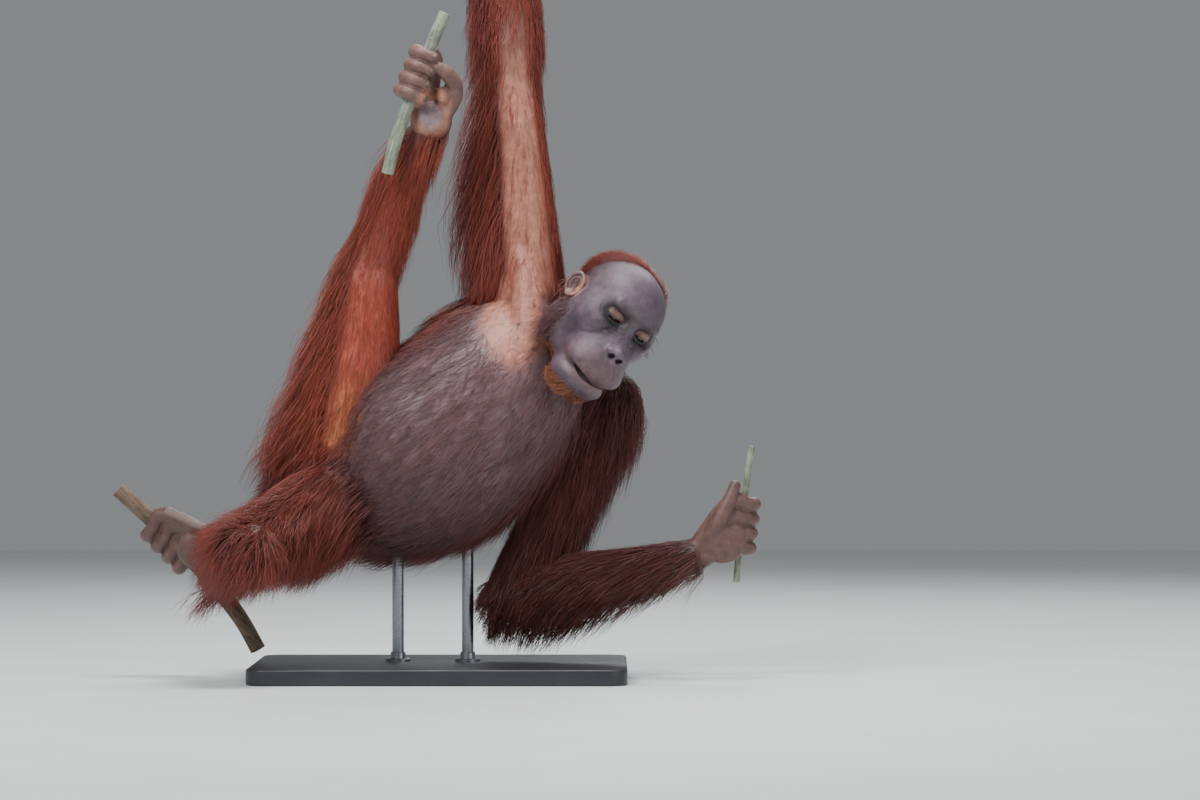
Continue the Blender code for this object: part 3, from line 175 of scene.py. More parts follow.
def linear(text):
    """Linear colour of an sRGB hex value."""
    values = [int(text[i:i + 2], 16) / 255 for i in (0, 2, 4)]
    return tuple(v / 12.92 if v <= 0.04045 else ((v + 0.055) / 1.055) ** 2.4 for v in values)


def colour_setting(name, text, description):
    """A colour that the user can change, given as sRGB hex."""
    return FloatVectorProperty(name=name, description=description, subtype="COLOR", size=3,
                               min=0.0, max=1.0, default=linear(text))


def length_setting(name, value, description):
    """A length that the user can change."""
    return FloatProperty(name=name, description=description, default=value, unit="LENGTH",
                         min=0.0001, soft_max=1.0)


class ApeCoatSettings(PropertyGroup):
    """Hair: how many tufts, how wide, and the colours of each part of the coat."""
    tufts: IntProperty(name="Tufts", description="Tufts of hair on trunk and limbs",
                       default=70000, min=1000)
    head_tufts: IntProperty(name="Head tufts", description="Tufts of hair on the head",
                            default=20000, min=200)
    width: length_setting("Tuft width", 0.0010, "Width of a tuft on trunk and limbs")
    head_width: length_setting("Head tuft width", 0.0006, "Width of a tuft on the head")
    crown_length: length_setting("Crown hair", 0.034, "Length of the hair on the crown")
    beard_length: length_setting("Whiskers", 0.026, "Length of the whiskers")
    back: colour_setting("Back", "743630", "Hair of the back and flanks")
    belly: colour_setting("Belly", "705254", "Thin hair of chest and belly")
    arm: colour_setting("Right arm", "803E34", "Hair of the raised arm")
    thigh: colour_setting("Right thigh", "8A4234", "Hair of the raised thigh")
    leg: colour_setting("Left leg", "76342A", "Hair of the low leg")
    # Left arm: the same hair as the right arm, painted darker as shade on the low arm
    shaded_left_arm: colour_setting("Left arm", "582A26", "Dark maroon hair of the low arm")
    crown: colour_setting("Crown", "742A20", "Hair over the crown")
    cheek: colour_setting("Cheeks", "6C4A4C", "Short hair of cheek and neck, lilac brown")
    beard: colour_setting("Whiskers' colour", "9A6248", "Whiskers at the jaw")


class ApeSkinSettings(PropertyGroup):
    """Colours of the bare skin."""
    face: colour_setting("Face", "5D4E58", "Greyish lilac skin of the face")
    muzzle: colour_setting("Muzzle", "695150", "Brownish skin round the mouth")
    # Folds: painted shade in the creases and sockets round the eyes and in the face's other hollows and
    # folds
    fold: colour_setting("Folds", "1C1619", "Dark skin in the folds round the eyes")
    lid: colour_setting("Eyelids", "94685A", "Flesh-coloured upper eyelids")
    ear: colour_setting("Ears", "A87C70", "Flesh-coloured ears")
    hand: colour_setting("Hands", "74564F", "Brown skin of the hands and toes")
    sole: colour_setting("Soles", "857A86", "Bluish grey skin of soles and palms")
    rim: colour_setting("Sole's rim", "B8806A", "Flesh-coloured edge of the sole and heel")
    armpit: colour_setting("Inner arm", "B07664", "Pinkish orange bare strip inside the raised arm")
    thigh: colour_setting("Inner thigh", "BE7448", "Orange skin inside the raised thigh")
    # Knee: pale pinkish skin, its paleness partly a painted sheen where the raised knee catches the
    # light
    knee: colour_setting("Knee", "A87468", "Pale pinkish skin of the raised knee")
    belly: colour_setting("Belly", "7A6064", "Greyish purple skin of chest and belly")


class ApeStandSettings(PropertyGroup):
    """Display stand and cut stems."""
    board: colour_setting("Board", "2B2B2F", "Satin paint of the board")
    steel: colour_setting("Rods", "9B9EA3", "Brushed steel of the rods")
    bark: colour_setting("Branches", "6E5B49", "Bark of the cut branches")
    vine: colour_setting("Stems", "8F9683", "Bark of the green vine and twig")
    collar: length_setting("Collar radius", 0.019, "Radius of the flange at each rod's foot")


def add_node(material, kind, links=(), feeds=None, stops=(), **settings):
    """Adds a shader node and sets it up: its properties, its sockets (in_ and the socket's name or
    number), the stops of a colour ramp, what feeds it, and the shader's socket that it feeds. A
    node that is given as a source stands for its first output."""
    tree = material.node_tree
    node = tree.nodes.new("ShaderNode" + kind)
    for name, value in settings.items():
        if name.startswith("in_"):
            key = name[3:]
            node.inputs[int(key) if key.isdigit() else key.replace("_", " ")].default_value = value
        else:
            setattr(node, name, value)
    for k, (position, colour) in enumerate(stops):
        node.color_ramp.elements[k].position = position
        node.color_ramp.elements[k].color = (*np.clip(colour, 0, 1), 1)
    for source, target in links:
        tree.links.new(getattr(source, "outputs", [source])[0], node.inputs[target])
    if feeds:
        tree.links.new(node.outputs[0], tree.nodes["Principled BSDF"].inputs[feeds])
    return node


def new_material(name, **settings):
    """A material whose shader has the given values on its own sockets."""
    made = bpy.data.materials.new(name)
    made.use_nodes = True
    for key, value in settings.items():
        made.node_tree.nodes["Principled BSDF"].inputs[key.replace("_", " ")].default_value = value
    return made


def smooth_stations(stations, steps):
    """Points on a Catmull-Rom curve through the stations, which are tuples of numbers."""
    padded = [stations[0], *stations, stations[-1]]
    made = []
    for i in range(len(stations) - 1):
        four = padded[i:i + 4]
        for k in range(steps):
            t = k / steps
            made.append([
                0.5 * (2 * q + (r - p) * t + (2 * p - 5 * q + 4 * r - s) * t ** 2
                       + (3 * q - p - 3 * r + s) * t ** 3)
                for p, q, r, s in zip(*four)
            ])
    made.append(list(stations[-1]))
    return made


def ring_frames(centres, depth_axis):
    """Tangent, side and depth directions at each point of a path."""
    frames = []
    for i in range(len(centres)):
        before, after = centres[max(i - 1, 0)], centres[min(i + 1, len(centres) - 1)]
        tangent = (after - before).normalized()
        side = tangent.cross(depth_axis).normalized()
        frames.append((tangent, side, side.cross(tangent)))
    return frames


def tube(bm, stations, depth_axis=Vector((0, 1, 0)), sides=24, steps=4, round_ends=True):
    """A closed tube through stations, each (x, y, z, half width, half depth)."""
    stations = smooth_stations(stations, steps)
    centres = [Vector(s[:3]) for s in stations]
    frames = ring_frames(centres, depth_axis)
    rings = [(c, f, s[3], s[4]) for c, f, s in zip(centres, frames, stations)]
    if round_ends:
        for end, sign in ((0, -1), (-1, 1)):
            centre, here, wide, deep = rings[end]
            extra = []
            for angle in (math.radians(35), math.radians(65)):
                step = here[0] * (sign * min(wide, deep) * math.sin(angle))
                extra.append((centre + step, here, wide * math.cos(angle), deep * math.cos(angle)))
            rings = extra[::-1] + rings if end == 0 else rings + extra
    loops = []
    for centre, (_, side, depth), wide, deep in rings:
        loop = []
        for k in range(sides):
            angle = math.tau * k / sides
            around = side * (wide * math.cos(angle)) + depth * (deep * math.sin(angle))
            loop.append(bm.verts.new(centre + around))
        loops.append(loop)
    close_loops(bm, loops)
    return loops


def close_loops(bm, loops):
    """Faces between rings of points, and one over each end."""
    sides = len(loops[0])
    for first, second in zip(loops, loops[1:]):
        for k in range(sides):
            bm.faces.new((first[k], first[(k + 1) % sides], second[(k + 1) % sides], second[k]))
    bm.faces.new(loops[0][::-1])
    bm.faces.new(loops[-1])


def ball(bm, centre, radii, turn=None, fineness=4):
    """An ellipsoid."""
    made = bmesh.ops.create_icosphere(bm, subdivisions=fineness, radius=1.0)
    turned = turn.to_4x4() if turn else Matrix.Identity(4)
    place = Matrix.Translation(centre) @ turned @ Matrix.Diagonal((*radii, 1.0))
    bmesh.ops.transform(bm, matrix=place, verts=made["verts"])


def new_object(name, bm, finish=None):
    """An object from a mesh under work, with its faces turned outwards."""
    bmesh.ops.recalc_face_normals(bm, faces=bm.faces)
    mesh = bpy.data.meshes.new(name)
    bm.to_mesh(mesh)
    bm.free()
    made = bpy.data.objects.new(name, mesh)
    bpy.context.scene.collection.objects.link(made)
    if finish:
        mesh.materials.append(finish)
    return made


def apply_modifiers(obj):
    """Makes what an object's modifiers give into its mesh."""
    bpy.context.view_layer.update()
    evaluated = obj.evaluated_get(bpy.context.evaluated_depsgraph_get())
    mesh = bpy.data.meshes.new_from_object(evaluated)
    old = obj.data
    obj.modifiers.clear()
    obj.data = mesh
    bpy.data.meshes.remove(old)


def remove(obj):
    mesh = obj.data
    bpy.data.objects.remove(obj)
    bpy.data.meshes.remove(mesh)


def fuse(obj, voxel, smoothing):
    """Turns overlapping closed forms into one skin and rounds where they meet."""
    remesh = obj.modifiers.new("fuse", "REMESH")
    remesh.mode = "VOXEL"
    remesh.voxel_size = voxel
    rounding = obj.modifiers.new("round", "SMOOTH")
    rounding.factor = 0.5
    rounding.iterations = smoothing
    apply_modifiers(obj)


def boolean(obj, other, operation):
    """Cuts or joins one closed form with another."""
    modifier = obj.modifiers.new("join", "BOOLEAN")
    modifier.operation = operation
    modifier.object = other
    modifier.solver = "MANIFOLD"
    apply_modifiers(obj)


def smooth_shading(obj):
    obj.data.polygons.foreach_set("use_smooth", [True] * len(obj.data.polygons))
    obj.data.update()


def points_of(mesh):
    """Places of the points of a mesh, as an array."""
    points = np.empty(len(mesh.vertices) * 3)
    mesh.vertices.foreach_get("co", points)
    return points.reshape(-1, 3)


def normals_of(mesh):
    """Normals at the points of a mesh, as an array."""
    normals = np.empty(len(mesh.vertices) * 3)
    mesh.vertices.foreach_get("normal", normals)
    return normals.reshape(-1, 3)


def move_points(obj, points):
    obj.data.vertices.foreach_set("co", points.ravel())
    obj.data.update()


def away_from(points, centre, radii=(1.0, 1.0, 1.0)):
    """Distance of points from a centre, in shares of the radii where these are given."""
    return np.linalg.norm((points - np.array(centre)) / np.array(radii), axis=1)


def head_place():
    """The head's own axes: +X the animal's left, -Y its gaze, +Z its crown."""
    turn = (Matrix.Rotation(HEAD_ROLL, 4, "Y") @ Matrix.Rotation(HEAD_YAW, 4, "Z")
            @ Matrix.Rotation(HEAD_PITCH, 4, "X"))
    return Matrix.Translation(HEAD_CENTRE) @ turn


def transformed(points, matrix):
    """Points moved by a matrix."""
    turned = np.array(matrix)
    return points @ turned[:3, :3].T + turned[:3, 3]


def ramp(value, low, high):
    """Smoothly from 0 at low to 1 at high."""
    t = np.clip((value - low) / (high - low), 0.0, 1.0)
    return t * t * (3 - 2 * t)


def station(point, wide, deep=None):
    """A station of a tube at a point."""
    return (*point, wide, deep if deep is not None else wide)


def torso_stations():
    """Pelvis, belly, ribs and chest along the spine: the skin, and the tips of its coat."""
    bare = [
        (-0.205, 0.050, 0.305, 0.055, 0.050),
        (-0.150, 0.045, 0.333, 0.098, 0.084),
        (-0.085, 0.020, 0.350, 0.126, 0.112),
        (-0.020, 0.000, 0.384, 0.142, 0.130),
        (0.060, 0.012, 0.446, 0.134, 0.116),
        (0.122, 0.034, 0.508, 0.116, 0.096),
        (0.162, 0.046, 0.537, 0.084, 0.074),
    ]
    coated = [
        (-0.215, 0.058, 0.298, 0.078, 0.068),
        (-0.155, 0.055, 0.326, 0.124, 0.104),
        (-0.085, 0.032, 0.343, 0.150, 0.130),
        (-0.020, 0.014, 0.376, 0.164, 0.146),
        (0.060, 0.026, 0.443, 0.156, 0.132),
        (0.120, 0.048, 0.510, 0.136, 0.114),
        (0.160, 0.060, 0.540, 0.100, 0.092),
    ]
    return bare, coated


def neck_stations():
    """The neck's skin, and the tips of its coat."""
    bare = [
        (0.140, 0.052, 0.515, 0.066, 0.062),
        (0.186, 0.036, 0.548, 0.060, 0.058),
        (0.222, -0.004, 0.578, 0.052, 0.052),
        (0.250, -0.036, 0.600, 0.044, 0.044),
    ]
    coated = [
        (0.140, 0.062, 0.522, 0.086, 0.080),
        (0.186, 0.050, 0.556, 0.082, 0.074),
        (0.222, 0.014, 0.588, 0.072, 0.066),
        (0.250, -0.020, 0.608, 0.056, 0.054),
    ]
    return bare, coated


# Middle and radii of the left shoulder's muscle
LEFT_SHOULDER = (SHOULDER_L + Vector((-0.004, 0.000, 0.004)), (0.056, 0.054, 0.060))


def collar_stations():
    """The muscle from the neck's foot to the left shoulder."""
    return [
        (0.175, 0.062, 0.530, 0.046, 0.046),
        (0.215, 0.066, 0.480, 0.048, 0.048),
        station(SHOULDER_L, 0.048),
    ]


def muscles_form(bm):
    """Shoulders, the folds before and behind the right armpit, and the buttocks."""
    ball(bm, SHOULDER_R + Vector((-0.002, 0.006, -0.010)), (0.054, 0.052, 0.062))
    ball(bm, *LEFT_SHOULDER)
    tube(bm, [
        (0.165, 0.062, 0.530, 0.046, 0.046),
        (0.150, 0.052, 0.590, 0.046, 0.046),
        station(SHOULDER_R, 0.046),
    ])
    tube(bm, collar_stations())
    tube(bm, [
        (0.115, -0.046, 0.478, 0.050, 0.026),
        (0.128, -0.034, 0.560, 0.034, 0.024),
        (0.118, -0.016, 0.650, 0.022, 0.020),
        (0.108, -0.006, 0.720, 0.014, 0.014),
    ])
    tube(bm, [
        (0.020, 0.050, 0.500, 0.050, 0.040),
        (0.064, 0.052, 0.585, 0.036, 0.034),
        (0.098, 0.040, 0.665, 0.026, 0.026),
        (0.100, 0.028, 0.740, 0.018, 0.018),
    ])
    ball(bm, Vector((-0.160, 0.060, 0.372)), (0.072, 0.060, 0.068))
    ball(bm, Vector((-0.165, 0.055, 0.312)), (0.070, 0.062, 0.062))


def upper_arm_stations(shoulder, elbow, hand):
    run, lower = elbow - shoulder, hand - elbow
    return [
        station(shoulder, 0.046),
        station(shoulder + run * 0.30, 0.042, 0.044),
        station(shoulder + run * 0.65, 0.036, 0.038),
        station(elbow - run * 0.06, 0.034, 0.033),
        station(elbow + lower * 0.05, 0.035, 0.033),
    ]


def forearm_stations(elbow, wrist):
    lower = wrist - elbow
    return [
        station(elbow - lower * 0.04, 0.033, 0.032),
        station(elbow + lower * 0.14, 0.040, 0.035),
        station(elbow + lower * 0.38, 0.037, 0.032),
        station(elbow + lower * 0.75, 0.028, 0.023),
        station(wrist, 0.027, 0.021),
    ]


def thigh_stations(hip, knee, ankle):
    thigh, shin = knee - hip, ankle - knee
    return [
        station(hip - thigh * 0.05, 0.066),
        station(hip + thigh * 0.30, 0.058, 0.060),
        station(hip + thigh * 0.68, 0.046, 0.047),
        station(knee, 0.037, 0.038),
        station(knee + shin * 0.08, 0.035),
    ]


def shin_stations(knee, ankle):
    shin = ankle - knee
    return [
        station(knee - shin * 0.08, 0.035, 0.036),
        station(knee + shin * 0.25, 0.035, 0.038),
        station(knee + shin * 0.62, 0.029, 0.031),
        station(ankle, 0.025, 0.026),
    ]


def body_lengths():
    """Each length of the body: its skin, the tips of its coat, and which way its depth runs."""
    front, up = Vector((0, 1, 0)), Vector((0, 0, 1))
    return {
        "torso": (*torso_stations(), front),
        "neck": (*neck_stations(), front),
        "upper_arm_r": (upper_arm_stations(SHOULDER_R, ELBOW_R, WRIST_R), [
            (0.085, 0.040, 0.620, 0.074, 0.060),
            (0.066, 0.034, 0.710, 0.076, 0.050),
            (0.073, 0.030, 0.810, 0.078, 0.048),
            (0.080, 0.024, 0.910, 0.070, 0.045),
            (0.088, 0.020, 0.965, 0.060, 0.042),
        ], front),
        "forearm_r": (forearm_stations(ELBOW_R, WRIST_R), [
            (0.084, 0.018, 0.935, 0.060, 0.042),
            (0.086, 0.018, 0.995, 0.060, 0.046),
            (0.084, 0.018, 1.065, 0.057, 0.044),
            (0.084, 0.012, 1.170, 0.044, 0.034),
            (0.085, 0.007, 1.252, 0.029, 0.023),
        ], front),
        "upper_arm_l": (upper_arm_stations(SHOULDER_L, ELBOW_L, WRIST_L), [
            (0.236, 0.070, 0.440, 0.070, 0.070),
            (0.206, 0.066, 0.352, 0.064, 0.066),
            (0.165, 0.052, 0.262, 0.060, 0.060),
            (0.112, 0.040, 0.160, 0.058, 0.056),
            (0.104, 0.036, 0.128, 0.056, 0.052),
        ], front),
        "forearm_l": (forearm_stations(ELBOW_L, WRIST_L), [
            (0.098, 0.034, 0.138, 0.062, 0.050),
            (0.140, 0.026, 0.148, 0.066, 0.052),
            (0.196, 0.014, 0.162, 0.059, 0.048),
            (0.300, -0.006, 0.192, 0.040, 0.034),
            (0.372, -0.019, 0.214, 0.028, 0.024),
        ], front),
        "thigh_r": (thigh_stations(HIP_R, KNEE_R, ANKLE_R), [
            (-0.178, 0.016, 0.392, 0.108, 0.084),
            (-0.158, 0.006, 0.486, 0.090, 0.074),
            (-0.143, -0.010, 0.580, 0.070, 0.060),
            (-0.121, -0.028, 0.662, 0.054, 0.052),
            (-0.112, -0.036, 0.680, 0.050, 0.048),
        ], front),
        "shin_r": (shin_stations(KNEE_R, ANKLE_R), [
            (-0.120, -0.030, 0.640, 0.052, 0.050),
            (-0.092, -0.042, 0.700, 0.048, 0.048),
            (-0.072, -0.062, 0.775, 0.046, 0.042),
            (-0.046, -0.086, 0.836, 0.036, 0.032),
        ], front),
        "thigh_l": (thigh_stations(HIP_L, KNEE_L, ANKLE_L), [
            (-0.146, 0.014, 0.296, 0.082, 0.082),
            (-0.194, -0.052, 0.270, 0.076, 0.078),
            (-0.244, -0.130, 0.238, 0.064, 0.072),
            (-0.284, -0.194, 0.214, 0.052, 0.062),
            (-0.290, -0.184, 0.208, 0.050, 0.060),
        ], up),
        "shin_l": (shin_stations(KNEE_L, ANKLE_L), [
            (-0.282, -0.206, 0.216, 0.050, 0.060),
            (-0.304, -0.150, 0.204, 0.054, 0.066),
            (-0.326, -0.078, 0.196, 0.052, 0.062),
            (-0.346, -0.010, 0.200, 0.042, 0.044),
        ], up),
    }


def grip_axes(perch, palm_side):
    """Middle of the grip, then the perch's, the palm's and the digits' directions."""
    centre, along, _, _, _ = PERCHES[perch]
    along = along.normalized()
    palm = (palm_side - along * palm_side.dot(along)).normalized()
    return centre, along, palm, along.cross(palm)


def finger(bm, ends, stations, **settings):
    """A round finger or toe, kept in the list of forms so that the skin can be drawn onto it."""
    tube(bm, stations, sides=16, **settings)
    ends.chains.append(stations)


def pad(bm, ends, centre, radii):
    """A rounded part of a palm or sole, kept in the list of forms."""
    ball(bm, centre, radii)
    ends.pads.append((centre, radii))


def digits(bm, perch, palm_side, root, offsets, sweep, radius, lead, ends):
    """Four digits that curl round a perch, each with its bone in the palm and a nail's place."""
    centre, along, palm, onward = grip_axes(perch, palm_side)
    orbit = PERCHES[perch][2] + radius - 0.0008
    for offset, turn in zip(offsets, sweep):
        base = centre + along * offset
        stations = [
            station(root + along * (offset * 0.42) - onward * 0.004, radius * 1.25),
            station(base + palm * (orbit + 0.006) - onward * lead, radius * 1.22),
        ]
        steps = 7
        for k in range(steps + 1):
            angle = math.radians(5 + (turn - 5) * k / steps)
            # Knuckles stand a little proud of the bones between them
            knuckle = 1.0 + 0.05 * math.cos(k * math.tau / 2.4)
            taper = 1.08 - 0.30 * (k / steps) ** 1.5
            point = base + (palm * math.cos(angle) + onward * math.sin(angle)) * orbit
            stations.append(station(point, radius * taper * knuckle))
        finger(bm, ends, stations, depth_axis=along, steps=3)
        end = math.radians(turn - 2)
        outward = palm * math.cos(end) + onward * math.sin(end)
        forward = onward * math.cos(end) - palm * math.sin(end)
        ends.nails.append((base + outward * (orbit + radius * 0.66), outward, forward, along, radius))


def hand_r_form(bm, ends):
    """The right hand, hooked over the branch overhead with its palm behind."""
    digits(bm, "perch_overhead", Vector((0, 1, 0)), WRIST_R, (-0.034, -0.0115, 0.0115, 0.034),
           (218, 232, 232, 214), FINGER_RADIUS, 0.026, ends)
    pad(bm, ends, Vector((0.084, 0.000, 1.292)), (0.038, 0.014, 0.036))
    finger(bm, ends, [
        (0.092, 0.002, 1.262, 0.015, 0.015),
        (0.116, -0.010, 1.288, 0.0135, 0.0135),
        station((0.132, -0.026, 1.306), THUMB_RADIUS),
        (0.138, -0.044, 1.312, 0.0090, 0.0090),
    ])


def hand_l_form(bm, ends):
    """The left hand, closed round the twig with its thumb up."""
    digits(bm, "perch_twig", Vector((0, -1, 0)), WRIST_L, (-0.033, -0.011, 0.011, 0.033),
           (262, 280, 280, 262), FINGER_RADIUS, 0.022, ends)
    pad(bm, ends, Vector((0.412, -0.028, 0.240)), (0.036, 0.014, 0.034))
    finger(bm, ends, [
        (0.388, -0.024, 0.232, 0.014, 0.014),
        (0.406, -0.036, 0.268, 0.0130, 0.0130),
        (0.421, -0.036, 0.296, 0.0110, 0.0110),
        (0.431, -0.032, 0.322, 0.0085, 0.0085),
    ])


def foot_r_form(bm, ends):
    """The right foot, its sole and heel towards the viewer, toes over the vine."""
    root = Vector((-0.034, -0.100, 0.872))
    digits(bm, "perch_vine", Vector((0, 1, 0)), root, (-0.029, -0.0085, 0.0120, 0.0320),
           (236, 226, 222, 212), TOE_RADIUS, 0.010, ends)
    pad(bm, ends, Vector((-0.020, -0.106, 0.863)), (0.031, 0.027, 0.031))
    pad(bm, ends, Vector((-0.034, -0.104, 0.893)), (0.027, 0.015, 0.032))
    # Short big toe on the far side, closing towards the others
    finger(bm, ends, [
        (-0.004, -0.106, 0.872, 0.015, 0.015),
        (0.012, -0.114, 0.894, 0.0135, 0.0135),
        (0.015, -0.128, 0.915, 0.0120, 0.0120),
        (0.004, -0.142, 0.930, 0.0110, 0.0110),
        (-0.008, -0.148, 0.938, 0.0085, 0.0085),
    ])
    pad(bm, ends, Vector((-0.002, -0.126, 0.900)), (0.0105, 0.0105, 0.0125))


def foot_l_form(bm, ends):
    """The left foot, its back towards the viewer, toes over the branch behind it."""
    digits(bm, "perch_branch", Vector((0, -1, 0)), ANKLE_L, (-0.034, -0.0115, 0.0115, 0.034),
           (214, 232, 236, 220), TOE_RADIUS, 0.024, ends)
    pad(bm, ends, Vector((-0.366, -0.002, 0.228)), (0.040, 0.016, 0.034))
    pad(bm, ends, Vector((-0.308, -0.002, 0.212)), (0.026, 0.030, 0.026))
    finger(bm, ends, [
        (-0.322, 0.002, 0.200, 0.014, 0.014),
        (-0.344, 0.018, 0.178, 0.0125, 0.0125),
        (-0.362, 0.040, 0.176, 0.0115, 0.0115),
        (-0.374, 0.058, 0.190, 0.0085, 0.0085),
    ])


def mirrored(centre):
    """A place on the head's right, then the same on its left."""
    return [Vector((side * centre[0], centre[1], centre[2])) for side in (-1, 1)]


def head_shapes():
    """Rounded forms of the head, each (centre, radii, tilt about X, blend, added or taken)."""
    shapes = [
        # Skull and forehead
        (Vector((0, -0.004, -0.006)), (0.066, 0.076, 0.062), 0.0, 0.0, 1),
        (Vector((0, -0.036, 0.004)), (0.050, 0.043, 0.042), 0.0, 0.020, 1),
        # Throat, jaw corners and cheeks
        (Vector((0, -0.018, -0.084)), (0.048, 0.052, 0.048), 0.0, 0.030, 1),
    ]
    for centre in mirrored((0.044, -0.012, -0.070)):
        shapes.append((centre, (0.026, 0.036, 0.046), 0.3, 0.030, 1))
    for centre in mirrored((0.043, -0.042, -0.034)):
        shapes.append((centre, (0.021, 0.028, 0.024), 0.0, 0.022, 1))
    # Muzzle with its tall upper lip, the lower lip and the chin
    shapes += [
        (Vector((0, -0.070, -0.070)), (0.042, 0.041, 0.036), 0.0, 0.024, 1),
        (Vector((0, -0.078, -0.090)), (0.050, 0.039, 0.026), 0.0, 0.016, 1),
        (Vector((0, -0.070, -0.121)), (0.043, 0.040, 0.021), 0.0, 0.007, 1),
        (Vector((0, -0.054, -0.126)), (0.037, 0.034, 0.027), 0.0, 0.020, 1),
    ]
    # Sockets of the eyes
    for centre in mirrored((0.028, -0.090, -0.014)):
        shapes.append((centre, (0.019, 0.023, 0.016), 0.0, 0.010, -1))
    # Low bridge and small tip of the nose, with a rim round each nostril
    shapes += [
        (Vector((0, -0.080, -0.030)), (0.0085, 0.012, 0.024), -0.75, 0.014, 1),
        (Vector((0, -0.1060, -0.0490)), (0.0085, 0.0080, 0.0075), 0.0, 0.006, 1),
    ]
    for centre in mirrored((0.0105, -0.1045, -0.0520)):
        shapes.append((centre, (0.0085, 0.0085, 0.0062), 0.0, 0.005, 1))
    # Brow, the bag under each eye, and the eyelids over the eyeballs
    for centre in mirrored((0.024, -0.072, 0.006)):
        shapes.append((centre, (0.018, 0.009, 0.0060), 0.4, 0.014, 1))
    for centre in mirrored((0.031, -0.070, -0.031)):
        shapes.append((centre, (0.016, 0.010, 0.0060), -0.3, 0.010, 1))
    for centre in mirrored(EYE_CENTRE):
        shapes.append((centre, (LID_RADIUS * 1.04, LID_RADIUS, LID_RADIUS * 0.92), 0.0, 0.004, 1))
    return shapes


def shape_distance(points, shape):
    """Distance of points to one tilted ellipsoid, close to true near its surface."""
    centre, radii, tilt, _, _ = shape
    local = (points - np.array(centre)) @ np.array(Matrix.Rotation(tilt, 3, "X"))
    radii = np.array(radii)
    near = np.linalg.norm(local / radii, axis=1)
    steep = np.linalg.norm(local / radii ** 2, axis=1)
    return near * (near - 1) / np.maximum(steep, 1e-9)


def head_distance(points):
    """Distance to the head, its forms run softly into each other."""
    shapes = head_shapes()
    total = shape_distance(points, shapes[0])
    for shape in shapes[1:]:
        other = shape_distance(points, shape)
        blend, sign = shape[3], shape[4]
        if sign < 0:
            total, other = -total, other
        mixed = np.clip(0.5 + 0.5 * (other - total) / blend, 0.0, 1.0)
        total = other * (1 - mixed) + total * mixed - blend * mixed * (1 - mixed)
        if sign < 0:
            total = -total
    return total


def chain_distance(points, stations):
    """Distance to a round finger or toe through its stations."""
    dense = np.array(smooth_stations(stations, 3))
    nearest = np.full(len(points), np.inf)
    for first, second in zip(dense[:-1], dense[1:]):
        run = second[:3] - first[:3]
        share = np.clip((points - first[:3]) @ run / max(run @ run, 1e-12), 0, 1)
        away = np.linalg.norm(points - first[:3] - share[:, None] * run, axis=1)
        nearest = np.minimum(nearest, away - first[3] - share * (second[3] - first[3]))
    return nearest


def hand_distance(points, ends):
    """Distance to the fingers, toes, palms and soles, run softly into each other."""
    parts = [chain_distance(points, stations) for stations in ends.chains]
    parts += [shape_distance(points, (centre, radii, 0.0, 0, 1)) for centre, radii in ends.pads]
    total = parts[0]
    for other in parts[1:]:
        mixed = np.clip(0.5 + 0.5 * (other - total) / WEB, 0.0, 1.0)
        total = other * (1 - mixed) + total * mixed - WEB * mixed * (1 - mixed)
    return total


def settle(points, weights, distance, rounds=10):
    """Moves points onto the surface whose distance is given."""
    step = 0.0002
    for _ in range(rounds):
        here = distance(points)
        slope = np.stack([
            (distance(points + np.eye(3)[i] * step) - here) / step for i in range(3)
        ], axis=1)
        size = np.maximum((slope ** 2).sum(axis=1), 0.25)
        move = -slope * (here / size)[:, None]
        far = np.linalg.norm(move, axis=1)
        move *= (weights * np.minimum(1.0, 0.004 / np.maximum(far, 1e-9)))[:, None]
        points = points + move
    return points


def ring_surface(stations, depth_axis):
    """Centres, axes and half sizes along one surface of a length of the body, as arrays."""
    dense = smooth_stations(stations, 4)
    centres = [Vector(s[:3]) for s in dense]
    frames = ring_frames(centres, depth_axis)
    return SimpleNamespace(
        centre=np.array([s[:3] for s in dense]),
        tangent=np.array([f[0] for f in frames]),
        side=np.array([f[1] for f in frames]),
        depth=np.array([f[2] for f in frames]),
        wide=np.array([s[3] for s in dense]),
        deep=np.array([s[4] for s in dense]),
    )


def ring_points(surface, along, angle):
    """Points at a share of a length and an angle round it."""
    last = len(surface.wide) - 1
    place = along * last
    i = np.clip(np.floor(place).astype(int), 0, last - 1)
    past = (place - i)[:, None]
    share = np.clip(past, 0.0, 1.0)

    def between(values, part):
        return values[i] + (values[i + 1] - values[i]) * part
    centre = between(surface.centre, past)
    side, depth = between(surface.side, share), between(surface.depth, share)
    wide, deep = between(surface.wide, share[:, 0]), between(surface.deep, share[:, 0])
    return (centre + side * (wide * np.cos(angle))[:, None]
            + depth * (deep * np.sin(angle))[:, None])


